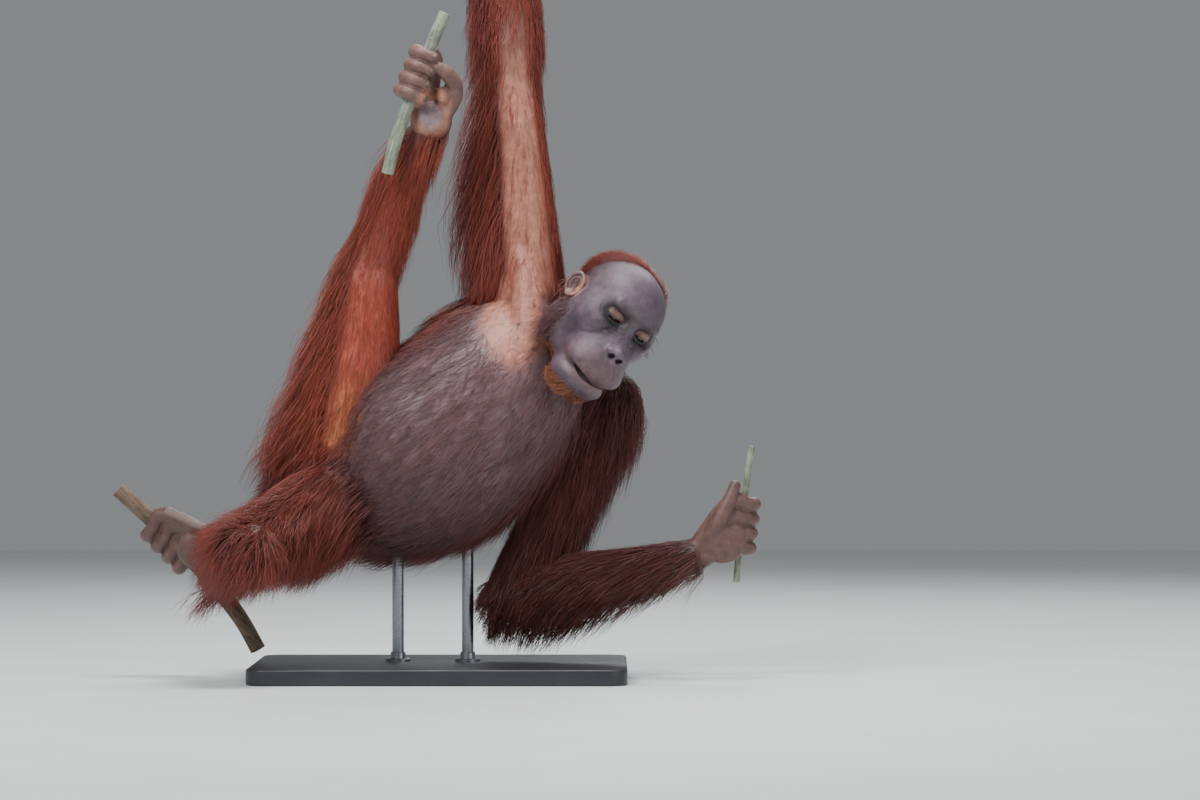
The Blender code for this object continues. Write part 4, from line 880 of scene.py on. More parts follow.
def locate(surface, points):
    """Where points lie on a length: share along it, angle round it, distance off its skin."""
    size = np.minimum(surface.wide, surface.deep)
    last = len(size) - 1
    along = np.empty(len(points))
    angle = np.empty(len(points))
    off = np.empty(len(points))
    for begin in range(0, len(points), 40000):
        part = slice(begin, begin + 40000)
        rel = points[part, None, :] - surface.centre[None]
        near = (np.linalg.norm(rel, axis=2) / size[None]).argmin(axis=1)
        rows = np.arange(len(near))
        rel = rel[rows, near]
        tangent = surface.tangent[near]
        beside = np.minimum(near + 1, last) - np.maximum(near - 1, 0)
        span = np.linalg.norm(
            surface.centre[np.minimum(near + 1, last)] - surface.centre[np.maximum(near - 1, 0)],
            axis=1) / beside
        ahead = (rel * tangent).sum(axis=1)
        shift = np.clip(ahead / span, -0.5, 0.5)
        place = np.clip(near + shift, 0, last)
        beyond = np.abs(ahead - (place - near) * span)
        x = (rel * surface.side[near]).sum(axis=1) / surface.wide[near]
        y = (rel * surface.depth[near]).sum(axis=1) / surface.deep[near]
        along[part] = place / last
        angle[part] = np.arctan2(y, x)
        sideways = (np.hypot(x, y) - 1) * size[near]
        off[part] = np.maximum(sideways, -0.02) + beyond
    return along, angle, off


class Body:
    """The lengths of the body as surfaces, and where any points of the skin lie on them."""

    # Run of the hair along each length (against it if negative), and its sag
    LIE = {
        "torso": (-0.18, 0.012), "neck": (-0.35, 0.006), "upper_arm_r": (-0.34, 0.016),
        "forearm_r": (-0.32, 0.010), "thigh_r": (-0.34, 0.020), "shin_r": (-0.40, 0.012),
        "thigh_l": (0.20, 0.026), "shin_l": (0.16, 0.030), "upper_arm_l": (0.28, 0.014),
        "forearm_l": (-0.22, 0.022),
    }

    def __init__(self):
        self.skins, self.tips = {}, {}
        for name, (bare, coated, depth_axis) in body_lengths().items():
            self.skins[name] = ring_surface(bare, depth_axis)
            self.tips[name] = ring_surface(coated, depth_axis)

    def places(self, points):
        """For each length: share along, angle round, and weight among the lengths."""
        found = {name: locate(skin, points) for name, skin in self.skins.items()}
        nearest = np.min([off for _, _, off in found.values()], axis=0)
        weights = {name: np.exp(-(off - nearest) / 0.007) for name, (_, _, off) in found.items()}
        total = sum(weights.values())
        return {
            name: (along, angle, weights[name] / total)
            for name, (along, angle, _) in found.items()
        }


def toward(angle, middle, half, soft=25):
    """1 where an angle lies within so many degrees of the middle, easing to 0 beyond."""
    away = np.abs((np.degrees(angle) - middle + 180) % 360 - 180)
    return 1 - ramp(away, half, half + soft)


def mix(first, second, share):
    """Colours or directions between two, by a share for each point."""
    first, second = np.array(first), np.array(second)
    return first + (second - first) * share[:, None]


# Where the hands and feet are bare: middle of each and how far the bare skin reaches
BARE_ENDS = {
    "hand_r": (Vector((0.086, -0.020, 1.336)), 0.080),
    "hand_l": (Vector((0.448, -0.020, 0.266)), 0.088),
    "foot_r": (Vector((-0.022, -0.124, 0.926)), 0.086),
    "foot_l": (Vector((-0.400, 0.020, 0.232)), 0.084),
}


def bareness(points):
    """1 on the hands and feet, easing to 0 at the wrists and ankles."""
    bare = np.zeros(len(points))
    for centre, reach in BARE_ENDS.values():
        bare = np.maximum(bare, 1 - ramp(away_from(points, centre), reach - 0.014, reach + 0.010))
    return bare


# Middle and radii of the right sole, seen from in front
SOLE = (Vector((-0.022, -0.135, 0.872)), Vector((0.030, 0.030, 0.036)))

# Middle and radii of the bare hollow that runs from the armpit onto the chest
ARMPIT = (Vector((0.098, -0.045, 0.575)), Vector((0.050, 0.070, 0.100)))


def inner_arm(points, places):
    """The thinly haired strip from the armpit up the inside of the raised arm."""
    _, angle, weight = places["upper_arm_r"]
    strip = toward(angle, 264, 36, 44) * weight
    along, angle, weight = places["forearm_r"]
    strip += toward(angle, 262, 16, 40) * (1 - 0.5 * along) * weight
    hollow = 1 - ramp(away_from(points, *ARMPIT), 0.75, 1.15)
    return np.clip(np.maximum(strip, hollow), 0, 1)


def inner_leg(places):
    """The smooth inside of the raised leg, and the shares of it near the groin and the knee."""
    _, angle, weight = places["thigh_r"]
    thigh = toward(angle, 246, 46, 46) * weight
    along, angle, weight = places["shin_r"]
    shin = toward(angle, 250, 40, 40) * weight * (1 - 0.6 * along)
    groin = weight_along(places["thigh_r"], 0.10, 0.38)
    knee = weight_along(places["thigh_r"], 0.98, 0.72) + weight_along(places["shin_r"], 0.0, 0.35)
    return np.clip(thigh + shin, 0, 1), groin, np.clip(knee, 0, 1)


def weight_along(place, full, none):
    """1 at one share of a length, easing to 0 at another."""
    along, _, weight = place
    rising = ramp(along, none, full) if full > none else 1 - ramp(along, full, none)
    return rising * weight


def front(places):
    """Chest and belly, where the coat is thin."""
    _, angle, weight = places["torso"]
    chest = toward(angle, 262, 60, 34) * weight
    _, angle, weight = places["neck"]
    return np.clip(chest + toward(angle, 270, 60) * weight, 0, 1)


def thinness(points, places):
    """1 where the coat is short and sparse, 0 where it is long."""
    leg = inner_leg(places)[0]
    return np.clip(np.maximum(np.maximum(inner_arm(points, places), leg), front(places) * 0.8), 0, 1)


def hanging(normal, scale, draw):
    """How hair on the low leg lies: out over the knee, then down in a soft curve."""
    count, steps = len(normal), TUFT_STEPS
    want = np.array([-0.55, 0.10, -0.80]) + draw.normal(0, 0.13, (count, 3))
    lie = unit(want - normal * (want * normal).sum(axis=1)[:, None] * 0.85)
    heading = unit(lie + normal * draw.uniform(0.05, 0.50, count)[:, None])
    reach = 0.074 * draw.uniform(0.55, 1.15, count) * scale / (steps - 1)
    paths = np.zeros((count, steps, 3))
    for k in range(1, steps):
        paths[:, k] = paths[:, k - 1] + heading * reach[:, None]
        heading = unit(heading + np.array([-0.05, 0, -0.26]))
    return paths


def hair_colour(points, places, coat):
    """Colour of the coat where each point lies, before each tuft's own change."""
    # Hair colour of each length; the left arm's darker colour is painted shade
    named = {
        "torso": coat.back, "neck": coat.cheek, "upper_arm_r": coat.arm, "forearm_r": coat.arm,
        "thigh_r": coat.thigh, "shin_r": coat.thigh, "thigh_l": coat.leg, "shin_l": coat.leg,
        "upper_arm_l": coat.shaded_left_arm, "forearm_l": coat.shaded_left_arm,
    }
    colour = np.zeros((len(points), 3))
    for name, (_, _, weight) in places.items():
        colour += np.array(named[name]) * weight[:, None]
    _, angle, weight = places["neck"]
    colour = mix(colour, coat.back, toward(angle, 90, 80, 40) * weight)
    colour = mix(colour, coat.belly, front(places) * 0.9)
    lit = np.clip(inner_leg(places)[0] + inner_arm(points, places), 0, 1)
    return mix(colour, colour * np.array([1.7, 1.55, 1.4]), lit)


def lower_lip(local):
    """The pale edge of the lower lip."""
    bow = local[:, 2] + 0.1135
    return np.exp(-(bow / 0.0035) ** 2) * ramp(-local[:, 1], 0.070, 0.085)


def head_hair_colour(local, coat):
    """Red-brown on the crown, lilac brown on the cheeks, orange at the lower jaw."""
    jaw = 1 - ramp(local[:, 2], -0.122, -0.102)
    side = 1 - ramp(local[:, 2], -0.045, -0.010)
    colour = mix(coat.crown, coat.cheek, side)
    return mix(colour, coat.beard, jaw * ramp(-local[:, 1], -0.020, 0.010))


def cheek_fold(local, side):
    """How far points lie from the fold that runs from below the eye out and down the cheek."""
    return (local[:, 0] * side - (0.025 + 0.68 * (-0.032 - local[:, 2]))) / 1.2


def face_shadows(local):
    """Painted shade beside the nose, under the cheekbones, in the cheek folds, along the brow, round the
    nostrils, between the lips and towards the temples.
    """
    x, y, z = np.abs(local[:, 0]), local[:, 1], local[:, 2]
    half = np.column_stack([x, y, z])
    # Painted shade along the fold down the cheek
    fold = np.exp(-(cheek_fold(half, 1) / 0.0055) ** 2)
    dark = 0.55 * fold * ramp(-z, 0.024, 0.034) * (1 - ramp(-z, 0.050, 0.072)) * (y < -0.02)
    # Painted shade under the cheekbone, along the brow, beside the bridge of the nose and round the
    # nostril
    for depth, centre, radii, full, none in (
        (0.55, (0.052, -0.036, -0.066), (0.022, 0.030, 0.022), 0.4, 1.3),
        (0.55, (0.018, -0.080, 0.002), (0.024, 0.020, 0.0055), 0.4, 1.4),
        (0.50, (0.010, -0.088, -0.026), (0.009, 0.020, 0.014), 0.4, 1.3),
        (0.80, (0.0078, -0.109, -0.0565), (1.0, 1.0, 1.0), 0.004, 0.009),
    ):
        dark += depth * (1 - ramp(away_from(half, centre, radii), full, none))
    # Painted shade growing towards the sides and back of the face
    dark += 0.45 * ramp(y, -0.030, 0.004)
    # Painted shade along the line between the lips
    lip = np.abs(z + 0.1085 - 0.0035 * (x / 0.035) ** 2)
    dark += 0.6 * (1 - ramp(lip, 0.001, 0.0050)) * ramp(-y, 0.080, 0.092)
    return np.clip(dark, 0, 1)


def face_parts(local):
    """Shares of the face's marks at points in the head's axes: the eyelids' and muzzle's own colours,
    painted shade in the lid creases and eye sockets, and a painted highlight on the nose tip.
    """
    eye = np.minimum(*[away_from(local, centre, (1.0, 1.0, 0.82)) for centre in mirrored(EYE_CENTRE)])
    above = local[:, 2] - EYE_CENTRE.z
    lid = (1 - ramp(eye, 0.0128, 0.0178)) * ramp(above, -0.004, 0.003)
    # Painted shade in the crease over each lid and in the socket round each eye, strongest below it
    crease = np.exp(-((eye - 0.0185) / 0.0024) ** 2) * 0.5
    ring = (1 - ramp(eye, 0.0200, 0.0370)) * (0.75 + 0.25 * (1 - ramp(above, -0.016, -0.004)))
    fold = crease + (1 - crease) * ring
    muzzle = 1 - ramp(away_from(local, (0, -0.078, -0.092), (0.050, 0.045, 0.040)), 0.75, 1.15)
    # Where the painted highlight on the tip of the nose goes
    nose = 1 - ramp(away_from(local, (0, -0.106, -0.052)), 0.010, 0.020)
    return lid, fold, muzzle, nose


def hairline(local):
    """How much of the coat the head carries at points in its own axes, 0 on the bare face."""
    rel = (local - np.array(CROWN_CENTRE)) / np.array(CROWN_RADII)
    over = np.degrees(np.arctan2(rel[:, 2], -rel[:, 1]))
    over = np.where(over < -90, over + 360, over)
    left = ramp(local[:, 0], 0.020, 0.045)
    crown = ramp(over + 9 * left, 62, 78)
    beside = ramp(local[:, 1] + 0.020 * left, 0.006, 0.020)
    jaw = whiskers(local)
    return np.clip(np.maximum(np.maximum(crown * (local[:, 2] > -0.01), beside), jaw), 0, 1)


def whiskers(local):
    """The band of whiskers down the jaw from before the ears, and those under the chin."""
    x, y, z = np.abs(local[:, 0]), local[:, 1], local[:, 2]
    edge = ramp(y, -0.040, -0.014) * (1 - ramp(z, -0.060, -0.046)) * ramp(x, 0.020, 0.036)
    chin = (1 - ramp(z, -0.142, -0.132))
    return np.clip(np.maximum(edge, chin), 0, 1)


def head_share(points):
    """1 on the head, easing to 0 down the neck, with the points in the head's axes."""
    local = transformed(points, head_place().inverted())
    inside = 1 - ramp(np.abs(head_distance(local)), 0.004, 0.014)
    centre, radii = LEFT_SHOULDER
    shoulder = shape_distance(points, (centre, radii, 0.0, 0, 1))
    collar = chain_distance(points, collar_stations())
    inside *= ramp(np.minimum(shoulder, collar), 0.002, 0.006)
    return inside * (1 - 0.5 * ramp(local[:, 1], 0.05, 0.09)), local


def halve_faces(skin, chosen):
    """Halves the faces along the edges that are chosen, so that finer forms have room."""
    bm = bmesh.new()
    bm.from_mesh(skin.data)
    edges = [edge for edge in bm.edges if chosen(*edge.verts)]
    bmesh.ops.subdivide_edges(bm, edges=edges, cuts=1, use_grid_fill=True, smooth=0.0)
    bmesh.ops.triangulate(bm, faces=[f for f in bm.faces if len(f.verts) > 4])
    bm.to_mesh(skin.data)
    bm.free()


def refine_hands(skin, ends):
    """Halves the faces of hands and feet and draws them onto each finger, toe, palm and sole."""
    middles = [(np.array(centre), reach) for centre, reach in BARE_ENDS.values()]
    points = points_of(skin.data)
    bare = np.min([away_from(points, c) - reach for c, reach in middles], axis=0) < 0.012
    halve_faces(skin, lambda first, second: bare[first.index] and bare[second.index])
    points = points_of(skin.data)
    lengths = body_lengths()
    for (centre, reach), limb in zip(middles, ("forearm_r", "forearm_l", "shin_r", "shin_l")):
        near = away_from(points, centre) < reach + 0.012
        part = points[near]
        skin_stations, _, depth_axis = lengths[limb]
        _, _, off = locate(ring_surface(skin_stations, depth_axis), part)

        def belongs(place, centre=centre, reach=reach):
            return np.linalg.norm(np.array(place) - centre) < reach + 0.03
        mine = SimpleNamespace(chains=[c for c in ends.chains if belongs(c[-1][:3])],
                               pads=[p for p in ends.pads if belongs(p[0])])
        here = hand_distance(part, mine)
        weights = ramp(off, 0.0015, 0.0075) * (1 - ramp(np.abs(here), 0.008, 0.012))
        points[near] = settle(part, weights, lambda spots, mine=mine: hand_distance(spots, mine), 5)
    move_points(skin, points)


def skin_mesh(ends):
    """Trunk, limbs, hands, feet and head fused into one closed skin, then the head made fine."""
    bm = bmesh.new()
    for bare, _, depth_axis in body_lengths().values():
        tube(bm, bare, depth_axis=depth_axis, sides=32)
    muscles_form(bm)
    for form in (hand_r_form, hand_l_form, foot_r_form, foot_l_form):
        form(bm, ends)
    for centre, radii, tilt, _, sign in head_shapes():
        if sign > 0:
            local = bmesh.new()
            ball(local, centre, radii, Matrix.Rotation(tilt, 3, "X"))
            local.transform(head_place())
            mesh = bpy.data.meshes.new("form")
            local.to_mesh(mesh)
            bm.from_mesh(mesh)
            bpy.data.meshes.remove(mesh)
            local.free()
    skin = new_object("skin", bm)
    fuse(skin, BODY_GRAIN, 3)
    refine_hands(skin, ends)
    refine_face(skin)
    return skin


def settle_head(skin):
    """Draws the head's part of the skin onto its soft forms, easing out towards the neck."""
    points = points_of(skin.data)
    place = head_place()
    near = away_from(points, place @ Vector((0, -0.02, -0.04))) < 0.17
    local = transformed(points[near], place.inverted())
    far = np.abs(head_distance(local))
    lengths = body_lengths()
    clear = np.min([locate(ring_surface(lengths[name][0], lengths[name][2]), points[near])[2]
                    for name in ("neck", "torso", "upper_arm_l")], axis=0)
    weights = (1 - ramp(far, 0.008, 0.014)) * ramp(clear, 0.001, 0.008)
    points[near] = transformed(settle(local, weights, head_distance), place)
    move_points(skin, points)


def refine_face(skin):
    """Halves the faces of the front of the head, so that lids, lips and folds have their form."""
    settle_head(skin)
    centre = head_place() @ Vector((0, -0.075, -0.060))
    halve_faces(skin, lambda first, second: (first.co - centre).length < FACE_REACH)
    settle_head(skin)
    crease_face(skin)


def crease_face(skin):
    """Folds that the soft forms don't give: round the eyes, from nose to mouth, and on the lips."""
    points = points_of(skin.data)
    place = head_place()
    local = transformed(points, place.inverted())
    near = away_from(local, (0, -0.07, -0.06)) < 0.085
    part = local[near]
    turned = normals_of(skin.data)[near] @ np.array(place.to_3x3())
    push = np.zeros(len(part))
    for side, centre in zip((-1, 1), mirrored(EYE_CENTRE)):
        rel = part - np.array(centre)
        away = np.hypot(rel[:, 0], rel[:, 2] * 1.15)
        low = ramp(-rel[:, 2], -0.004, 0.010)
        # Bags and rings below the eye, and one deep fold over the lid
        rings = np.cos((away - 0.0185) * math.tau / 0.0050) * ramp(away, 0.0150, 0.0180)
        push += 0.0007 * rings * (1 - ramp(away, 0.026, 0.034)) * (0.35 + 0.65 * low)
        over = np.exp(-((away - 0.0168) / 0.0016) ** 2) * ramp(rel[:, 2], 0.000, 0.006)
        push -= 0.0016 * over
        # Cheek fold from the inner corner of the eye down to the side of the mouth
        fold = np.exp(-(cheek_fold(part, side) / 0.0026) ** 2) * ramp(-part[:, 2], 0.026, 0.034)
        push -= 0.0019 * fold * (1 - ramp(-part[:, 2], 0.052, 0.070))
    # Fine upright creases of the tall upper lip
    lip = np.exp(-((part[:, 2] + 0.096) / 0.010) ** 2) * ramp(-part[:, 1], 0.075, 0.095)
    push += 0.00035 * lip * np.cos(part[:, 0] * math.tau / 0.0055)
    # Brow creases across the forehead
    brow = np.exp(-((part[:, 2] - 0.010) / 0.012) ** 2) * ramp(-part[:, 1], 0.050, 0.065)
    push += 0.0004 * brow * np.cos((part[:, 2] + 12.0 * part[:, 0] ** 2) * math.tau / 0.0060)
    points[near] = transformed(part + turned * push[:, None], place)
    move_points(skin, points)


def cutter(name, forms):
    """Forms that are cut out of the skin, moved from the head's axes."""
    bm = bmesh.new()
    forms(bm)
    made = new_object(name, bm)
    made.data.transform(head_place())
    return made


def mouth_cutter(bm):
    """The slit between the lips, widest on the animal's right where the mouth is open."""
    tube(bm, [
        (-0.035, -0.093, -0.1025, 0.0005, 0.010),
        (-0.029, -0.099, -0.1050, 0.0026, 0.012),
        (-0.018, -0.105, -0.1080, 0.0042, 0.013),
        (-0.006, -0.109, -0.1098, 0.0030, 0.013),
        (0.004, -0.109, -0.1102, 0.0010, 0.013),
        (0.020, -0.103, -0.1090, 0.0004, 0.011),
        (0.033, -0.094, -0.1055, 0.0004, 0.010),
    ], sides=12, steps=4, round_ends=False)


def nostril_cutters(bm):
    """Two slanted nostrils."""
    for side in (-1, 1):
        turn = Matrix.Rotation(side * math.radians(-25), 3, "Y")
        ball(bm, Vector((side * 0.0078, -0.111, -0.0565)), (0.0055, 0.0080, 0.0043), turn)


def eyeball_cutters(bm):
    """Room for the eyeballs behind the lids."""
    for centre in mirrored(EYE_CENTRE):
        ball(bm, centre, [EYE_RADIUS + 0.0005] * 3)


def eyelid_cutters(bm):
    """The narrow slit between the lowered lids of each eye."""
    for side, centre in zip((-1, 1), mirrored(EYE_CENTRE)):
        turn = (Matrix.Rotation(side * math.radians(6), 3, "Y")
                @ Matrix.Rotation(side * math.radians(12), 3, "Z"))
        ball(bm, centre + Vector((side * 0.001, -0.015, -0.0052)), (0.0112, 0.0160, 0.0026), turn)


def ear_form(side):
    """A small rounded ear with a rolled rim, a hollow cup, its inner ridge and a lobe."""
    bm = bmesh.new()
    ball(bm, Vector((0, 0, 0)), (0.0060, 0.0115, 0.0165))
    rim = [
        station((0.0045, 0.0125 * math.sin(a), 0.0180 * math.cos(a)), 0.0027 + 0.0005 * math.cos(a))
        for a in [math.radians(d) for d in range(-150, 151, 30)]
    ]
    tube(bm, rim, depth_axis=Vector((1, 0, 0)), sides=12, steps=4)
    ball(bm, Vector((0.0030, 0.0015, -0.0165)), (0.0045, 0.0060, 0.0055))
    ball(bm, Vector((-0.0070, 0.0030, -0.0010)), (0.0110, 0.0080, 0.0120))
    ear = new_object("ear", bm)
    fuse(ear, 0.0007, 2)
    bm = bmesh.new()
    ball(bm, Vector((0.0085, 0.0005, 0.0010)), (0.0080, 0.0080, 0.0125))
    cup = new_object("cup", bm)
    boolean(ear, cup, "DIFFERENCE")
    remove(cup)
    # The inner ridge, and the small flap before the opening
    bm = bmesh.new()
    tube(bm, [
        (0.0030, 0.0065, -0.0080, 0.0016, 0.0016),
        (0.0036, 0.0085, 0.0010, 0.0018, 0.0018),
        (0.0034, 0.0050, 0.0090, 0.0016, 0.0016),
        (0.0030, -0.0020, 0.0110, 0.0012, 0.0012),
    ], depth_axis=Vector((1, 0, 0)), sides=10)
    ball(bm, Vector((0.0044, -0.0090, -0.0040)), (0.0022, 0.0030, 0.0048))
    ridge = new_object("ridge", bm)
    boolean(ear, ridge, "UNION")
    remove(ridge)
    smooth = ear.modifiers.new("soften", "SMOOTH")
    smooth.factor = 0.5
    smooth.iterations = 3
    apply_modifiers(ear)
    out = 1 if side == "l" else -1
    mirror = Matrix.Diagonal((out, 1, 1, 1))
    turn = Matrix.Rotation(-out * EAR_FORWARD, 4, "Z") @ Matrix.Rotation(-EAR_LEAN, 4, "X")
    centre = Vector((out * EAR_CENTRE.x, EAR_CENTRE.y, EAR_CENTRE.z))
    ear.data.transform(head_place() @ Matrix.Translation(centre) @ turn @ mirror)
    if out < 0:
        ear.data.flip_normals()
    return ear


def ear_cup(local):
    """1 in the hollow of each ear, where painted shade darkens the skin."""
    share = np.zeros(len(local))
    for centre in mirrored(EAR_CENTRE):
        hollow = (centre.x * 1.05, centre.y + 0.002, centre.z + 0.001)
        share = np.maximum(share, 1 - ramp(away_from(local, hollow), 0.0095, 0.0145))
    return share


def ear_share(local, beyond=0.0):
    """1 on the ears and as far beyond them."""
    share = np.zeros(len(local))
    for centre in mirrored(EAR_CENTRE):
        away = away_from(local, (centre.x * 1.09, centre.y, centre.z))
        share = np.maximum(share, 1 - ramp(away, 0.018 + beyond, 0.026 + beyond))
    return share


def paint_skin(skin, body, colours, coat):
    """Gives every point of the skin its colour and how wrinkled it is there."""
    points = points_of(skin.data)
    places = body.places(points)
    on_head, local = head_share(points)
    hair = hair_colour(points, places, coat)
    thin = thinness(points, places)
    bare = bareness(points)
    leg, groin, knee = inner_leg(places)
    pink = mix(colours.armpit, np.array(colours.armpit) * 0.55, places["forearm_r"][2])
    flesh = mix(colours.belly, pink, inner_arm(points, places))
    limb = mix(hair * 0.95, colours.thigh, groin)
    # The knee's pale colour is partly a painted sheen
    flesh = mix(flesh, mix(limb, colours.knee, knee), leg)
    colour = mix(hair * 0.42, flesh, thin)
    colour = mix(colour, bare_hands(points, colours), bare)
    lid, fold, muzzle, nose = face_parts(local)
    face = mix(colours.face, colours.muzzle, muzzle * 0.85)
    # Painted shade in the creases and sockets round the eyes and in the face's hollows
    face = mix(face, colours.fold, np.maximum(fold, face_shadows(local)))
    face = mix(face, colours.lid, lid)
    # Painted highlight on the tip of the nose
    face = mix(face, face * 1.5, nose)
    face = mix(face, face * 1.35, lower_lip(local))
    haired = hairline(local)
    face = mix(face, head_hair_colour(local, coat) * 0.5, haired * 0.85)
    face = mix(face, colours.ear, ear_share(local))
    # Painted shade in the hollow of each ear
    face = mix(face, face * 0.30, ear_cup(local))
    colour = mix(colour, face, on_head)
    write_colour(skin.data, "skin_colour", colour)
    crinkle = np.clip(bare * 0.9 + on_head * (1 - haired) * 0.6 + thin * 0.4, 0, 1)
    write_value(skin.data, "crinkle", crinkle)


def bare_hands(points, colours):
    """Brown hands and toes, with painted shade darkening the left foot and hand, and a bluish sole with
    its flesh-coloured rim.
    """
    away = away_from(points, *SOLE)
    hand = mix(colours.hand, colours.rim, 0.8 * (1 - ramp(away, 0.95, 1.35)))
    hand = mix(hand, colours.sole, 0.8 * (1 - ramp(away, 0.35, 0.95)))
    # Painted shade on the left foot and the left hand
    for end, depth in (("foot_l", 0.62), ("hand_l", 0.72)):
        away = away_from(points, BARE_ENDS[end][0])
        hand = mix(hand, hand * depth, 1 - ramp(away, 0.10, 0.14))
    return hand


def write_colour(mesh, name, values):
    """Keeps a colour at each point of a mesh for its material."""
    attribute = mesh.color_attributes.new(name, "FLOAT_COLOR", "POINT")
    packed = np.ones((len(values), 4))
    packed[:, :3] = np.clip(values, 0, 1)
    attribute.data.foreach_set("color", packed.ravel())


def write_value(mesh, name, values):
    """Keeps a number at each point of a mesh for its material."""
    attribute = mesh.attributes.new(name, "FLOAT", "POINT")
    attribute.data.foreach_set("value", values)


def skin_finish():
    """Bare ape skin: soft, slightly oily leather with pores, fine crossed lines and blotches."""
    made = new_material("ape skin", IOR=1.45, Subsurface_Weight=0.12, Subsurface_Scale=0.6,
                        Subsurface_Radius=(0.006, 0.003, 0.002))
    place = add_node(made, "TexCoord").outputs["Object"]
    painted = add_node(made, "Attribute", attribute_name="skin_colour")
    crinkle = add_node(made, "Attribute", attribute_name="crinkle")
    # Blotches about 12 mm across, and finer mottling about 2 mm across
    blotch = add_node(made, "TexNoise", [(place, "Vector")], in_Scale=1 / 0.012, in_Detail=4.0,
                      in_Roughness=0.6)
    mottle = add_node(made, "TexNoise", [(place, "Vector")], in_Scale=1 / 0.002, in_Detail=3.0)
    wide = add_node(made, "MapRange", [(blotch, "Value")],
                    in_From_Min=0.3, in_From_Max=0.7, in_To_Min=0.68, in_To_Max=1.20)
    fine = add_node(made, "MapRange", [(mottle, "Value")],
                    in_From_Min=0.3, in_From_Max=0.7, in_To_Min=0.86, in_To_Max=1.10)
    both = add_node(made, "Math", [(wide, 0), (fine, 1)], operation="MULTIPLY")
    add_node(made, "VectorMath", [(painted, 0), (both, "Scale")], "Base Color", operation="SCALE")
    # Pores and crossed lines about 1.6 mm apart, and soft creases about 7 mm apart
    pores = add_node(made, "TexVoronoi", [(place, "Vector")], in_Scale=1 / 0.0016,
                     feature="DISTANCE_TO_EDGE")
    crease = add_node(made, "TexNoise", [(place, "Vector")], in_Scale=1 / 0.007, in_Detail=6.0,
                      in_Roughness=0.7)
    height = add_node(made, "Math", [(pores, 0), (crease, 1)], operation="ADD")
    strength = add_node(made, "Math", [(crinkle.outputs["Fac"], 0)], operation="MULTIPLY", in_1=0.45)
    add_node(made, "Bump", [(height, "Height"), (strength, "Strength")], "Normal", in_Distance=0.0009)
    add_node(made, "MapRange", [(blotch, "Value")], "Roughness",
             in_From_Min=0.3, in_From_Max=0.7, in_To_Min=0.36, in_To_Max=0.54)
    return made


def hair_finish():
    """Coarse ape hair: long glossy strands, darker at the root, each tuft its own shade."""
    made = new_material("ape hair", IOR=1.55)
    painted = add_node(made, "Attribute", attribute_name="hair_colour")
    along = add_node(made, "Attribute", attribute_name="along").outputs["Fac"]
    place = add_node(made, "TexCoord").outputs["Object"]
    # Strands 0.5 mm wide show as light and dark lines across each tuft
    strand = add_node(made, "TexNoise", [(place, "Vector")], in_Scale=1 / 0.0010, in_Detail=2.0)
    root = add_node(made, "MapRange", [(along, "Value")],
                    in_From_Min=0.0, in_From_Max=0.8, in_To_Min=0.55, in_To_Max=1.25)
    line = add_node(made, "MapRange", [(strand, "Value")],
                    in_From_Min=0.3, in_From_Max=0.7, in_To_Min=0.78, in_To_Max=1.18)
    both = add_node(made, "Math", [(root, 0), (line, 1)], operation="MULTIPLY")
    add_node(made, "VectorMath", [(painted, 0), (both, "Scale")], "Base Color", operation="SCALE")
    add_node(made, "MapRange", [(strand, "Value")], "Roughness",
             in_From_Min=0.3, in_From_Max=0.7, in_To_Min=0.38, in_To_Max=0.55)
    return made


def eye_finish():
    """A wet eyeball: clear, very smooth film over a dark brown iris and a dusky white."""
    made = new_material("wet eyeball", Roughness=0.10, IOR=1.38, Coat_Weight=1.0, Coat_Roughness=0.03)
    painted = add_node(made, "Attribute", attribute_name="eye_colour")
    place = add_node(made, "TexCoord").outputs["Object"]
    vein = add_node(made, "TexNoise", [(place, "Vector")], in_Scale=1 / 0.0012, in_Detail=4.0)
    shade = add_node(made, "MapRange", [(vein, "Value")],
                     in_From_Min=0.3, in_From_Max=0.7, in_To_Min=0.75, in_To_Max=1.15)
    add_node(made, "VectorMath", [(painted, 0), (shade, "Scale")], "Base Color", operation="SCALE")
    return made


def nail_finish():
    """A horn nail: dark, smooth and faintly ridged from root to edge."""
    made = new_material("horn nail", Roughness=0.35, IOR=1.54)
    place = add_node(made, "TexCoord").outputs["Object"]
    ridge = add_node(made, "TexNoise", [(place, "Vector")], in_Scale=1 / 0.0008, in_Detail=2.0)
    add_node(made, "ValToRGB", [(ridge, "Fac")], "Base Color",
             ((0, linear("3A2C28")), (1, linear("6A544B"))))
    return made


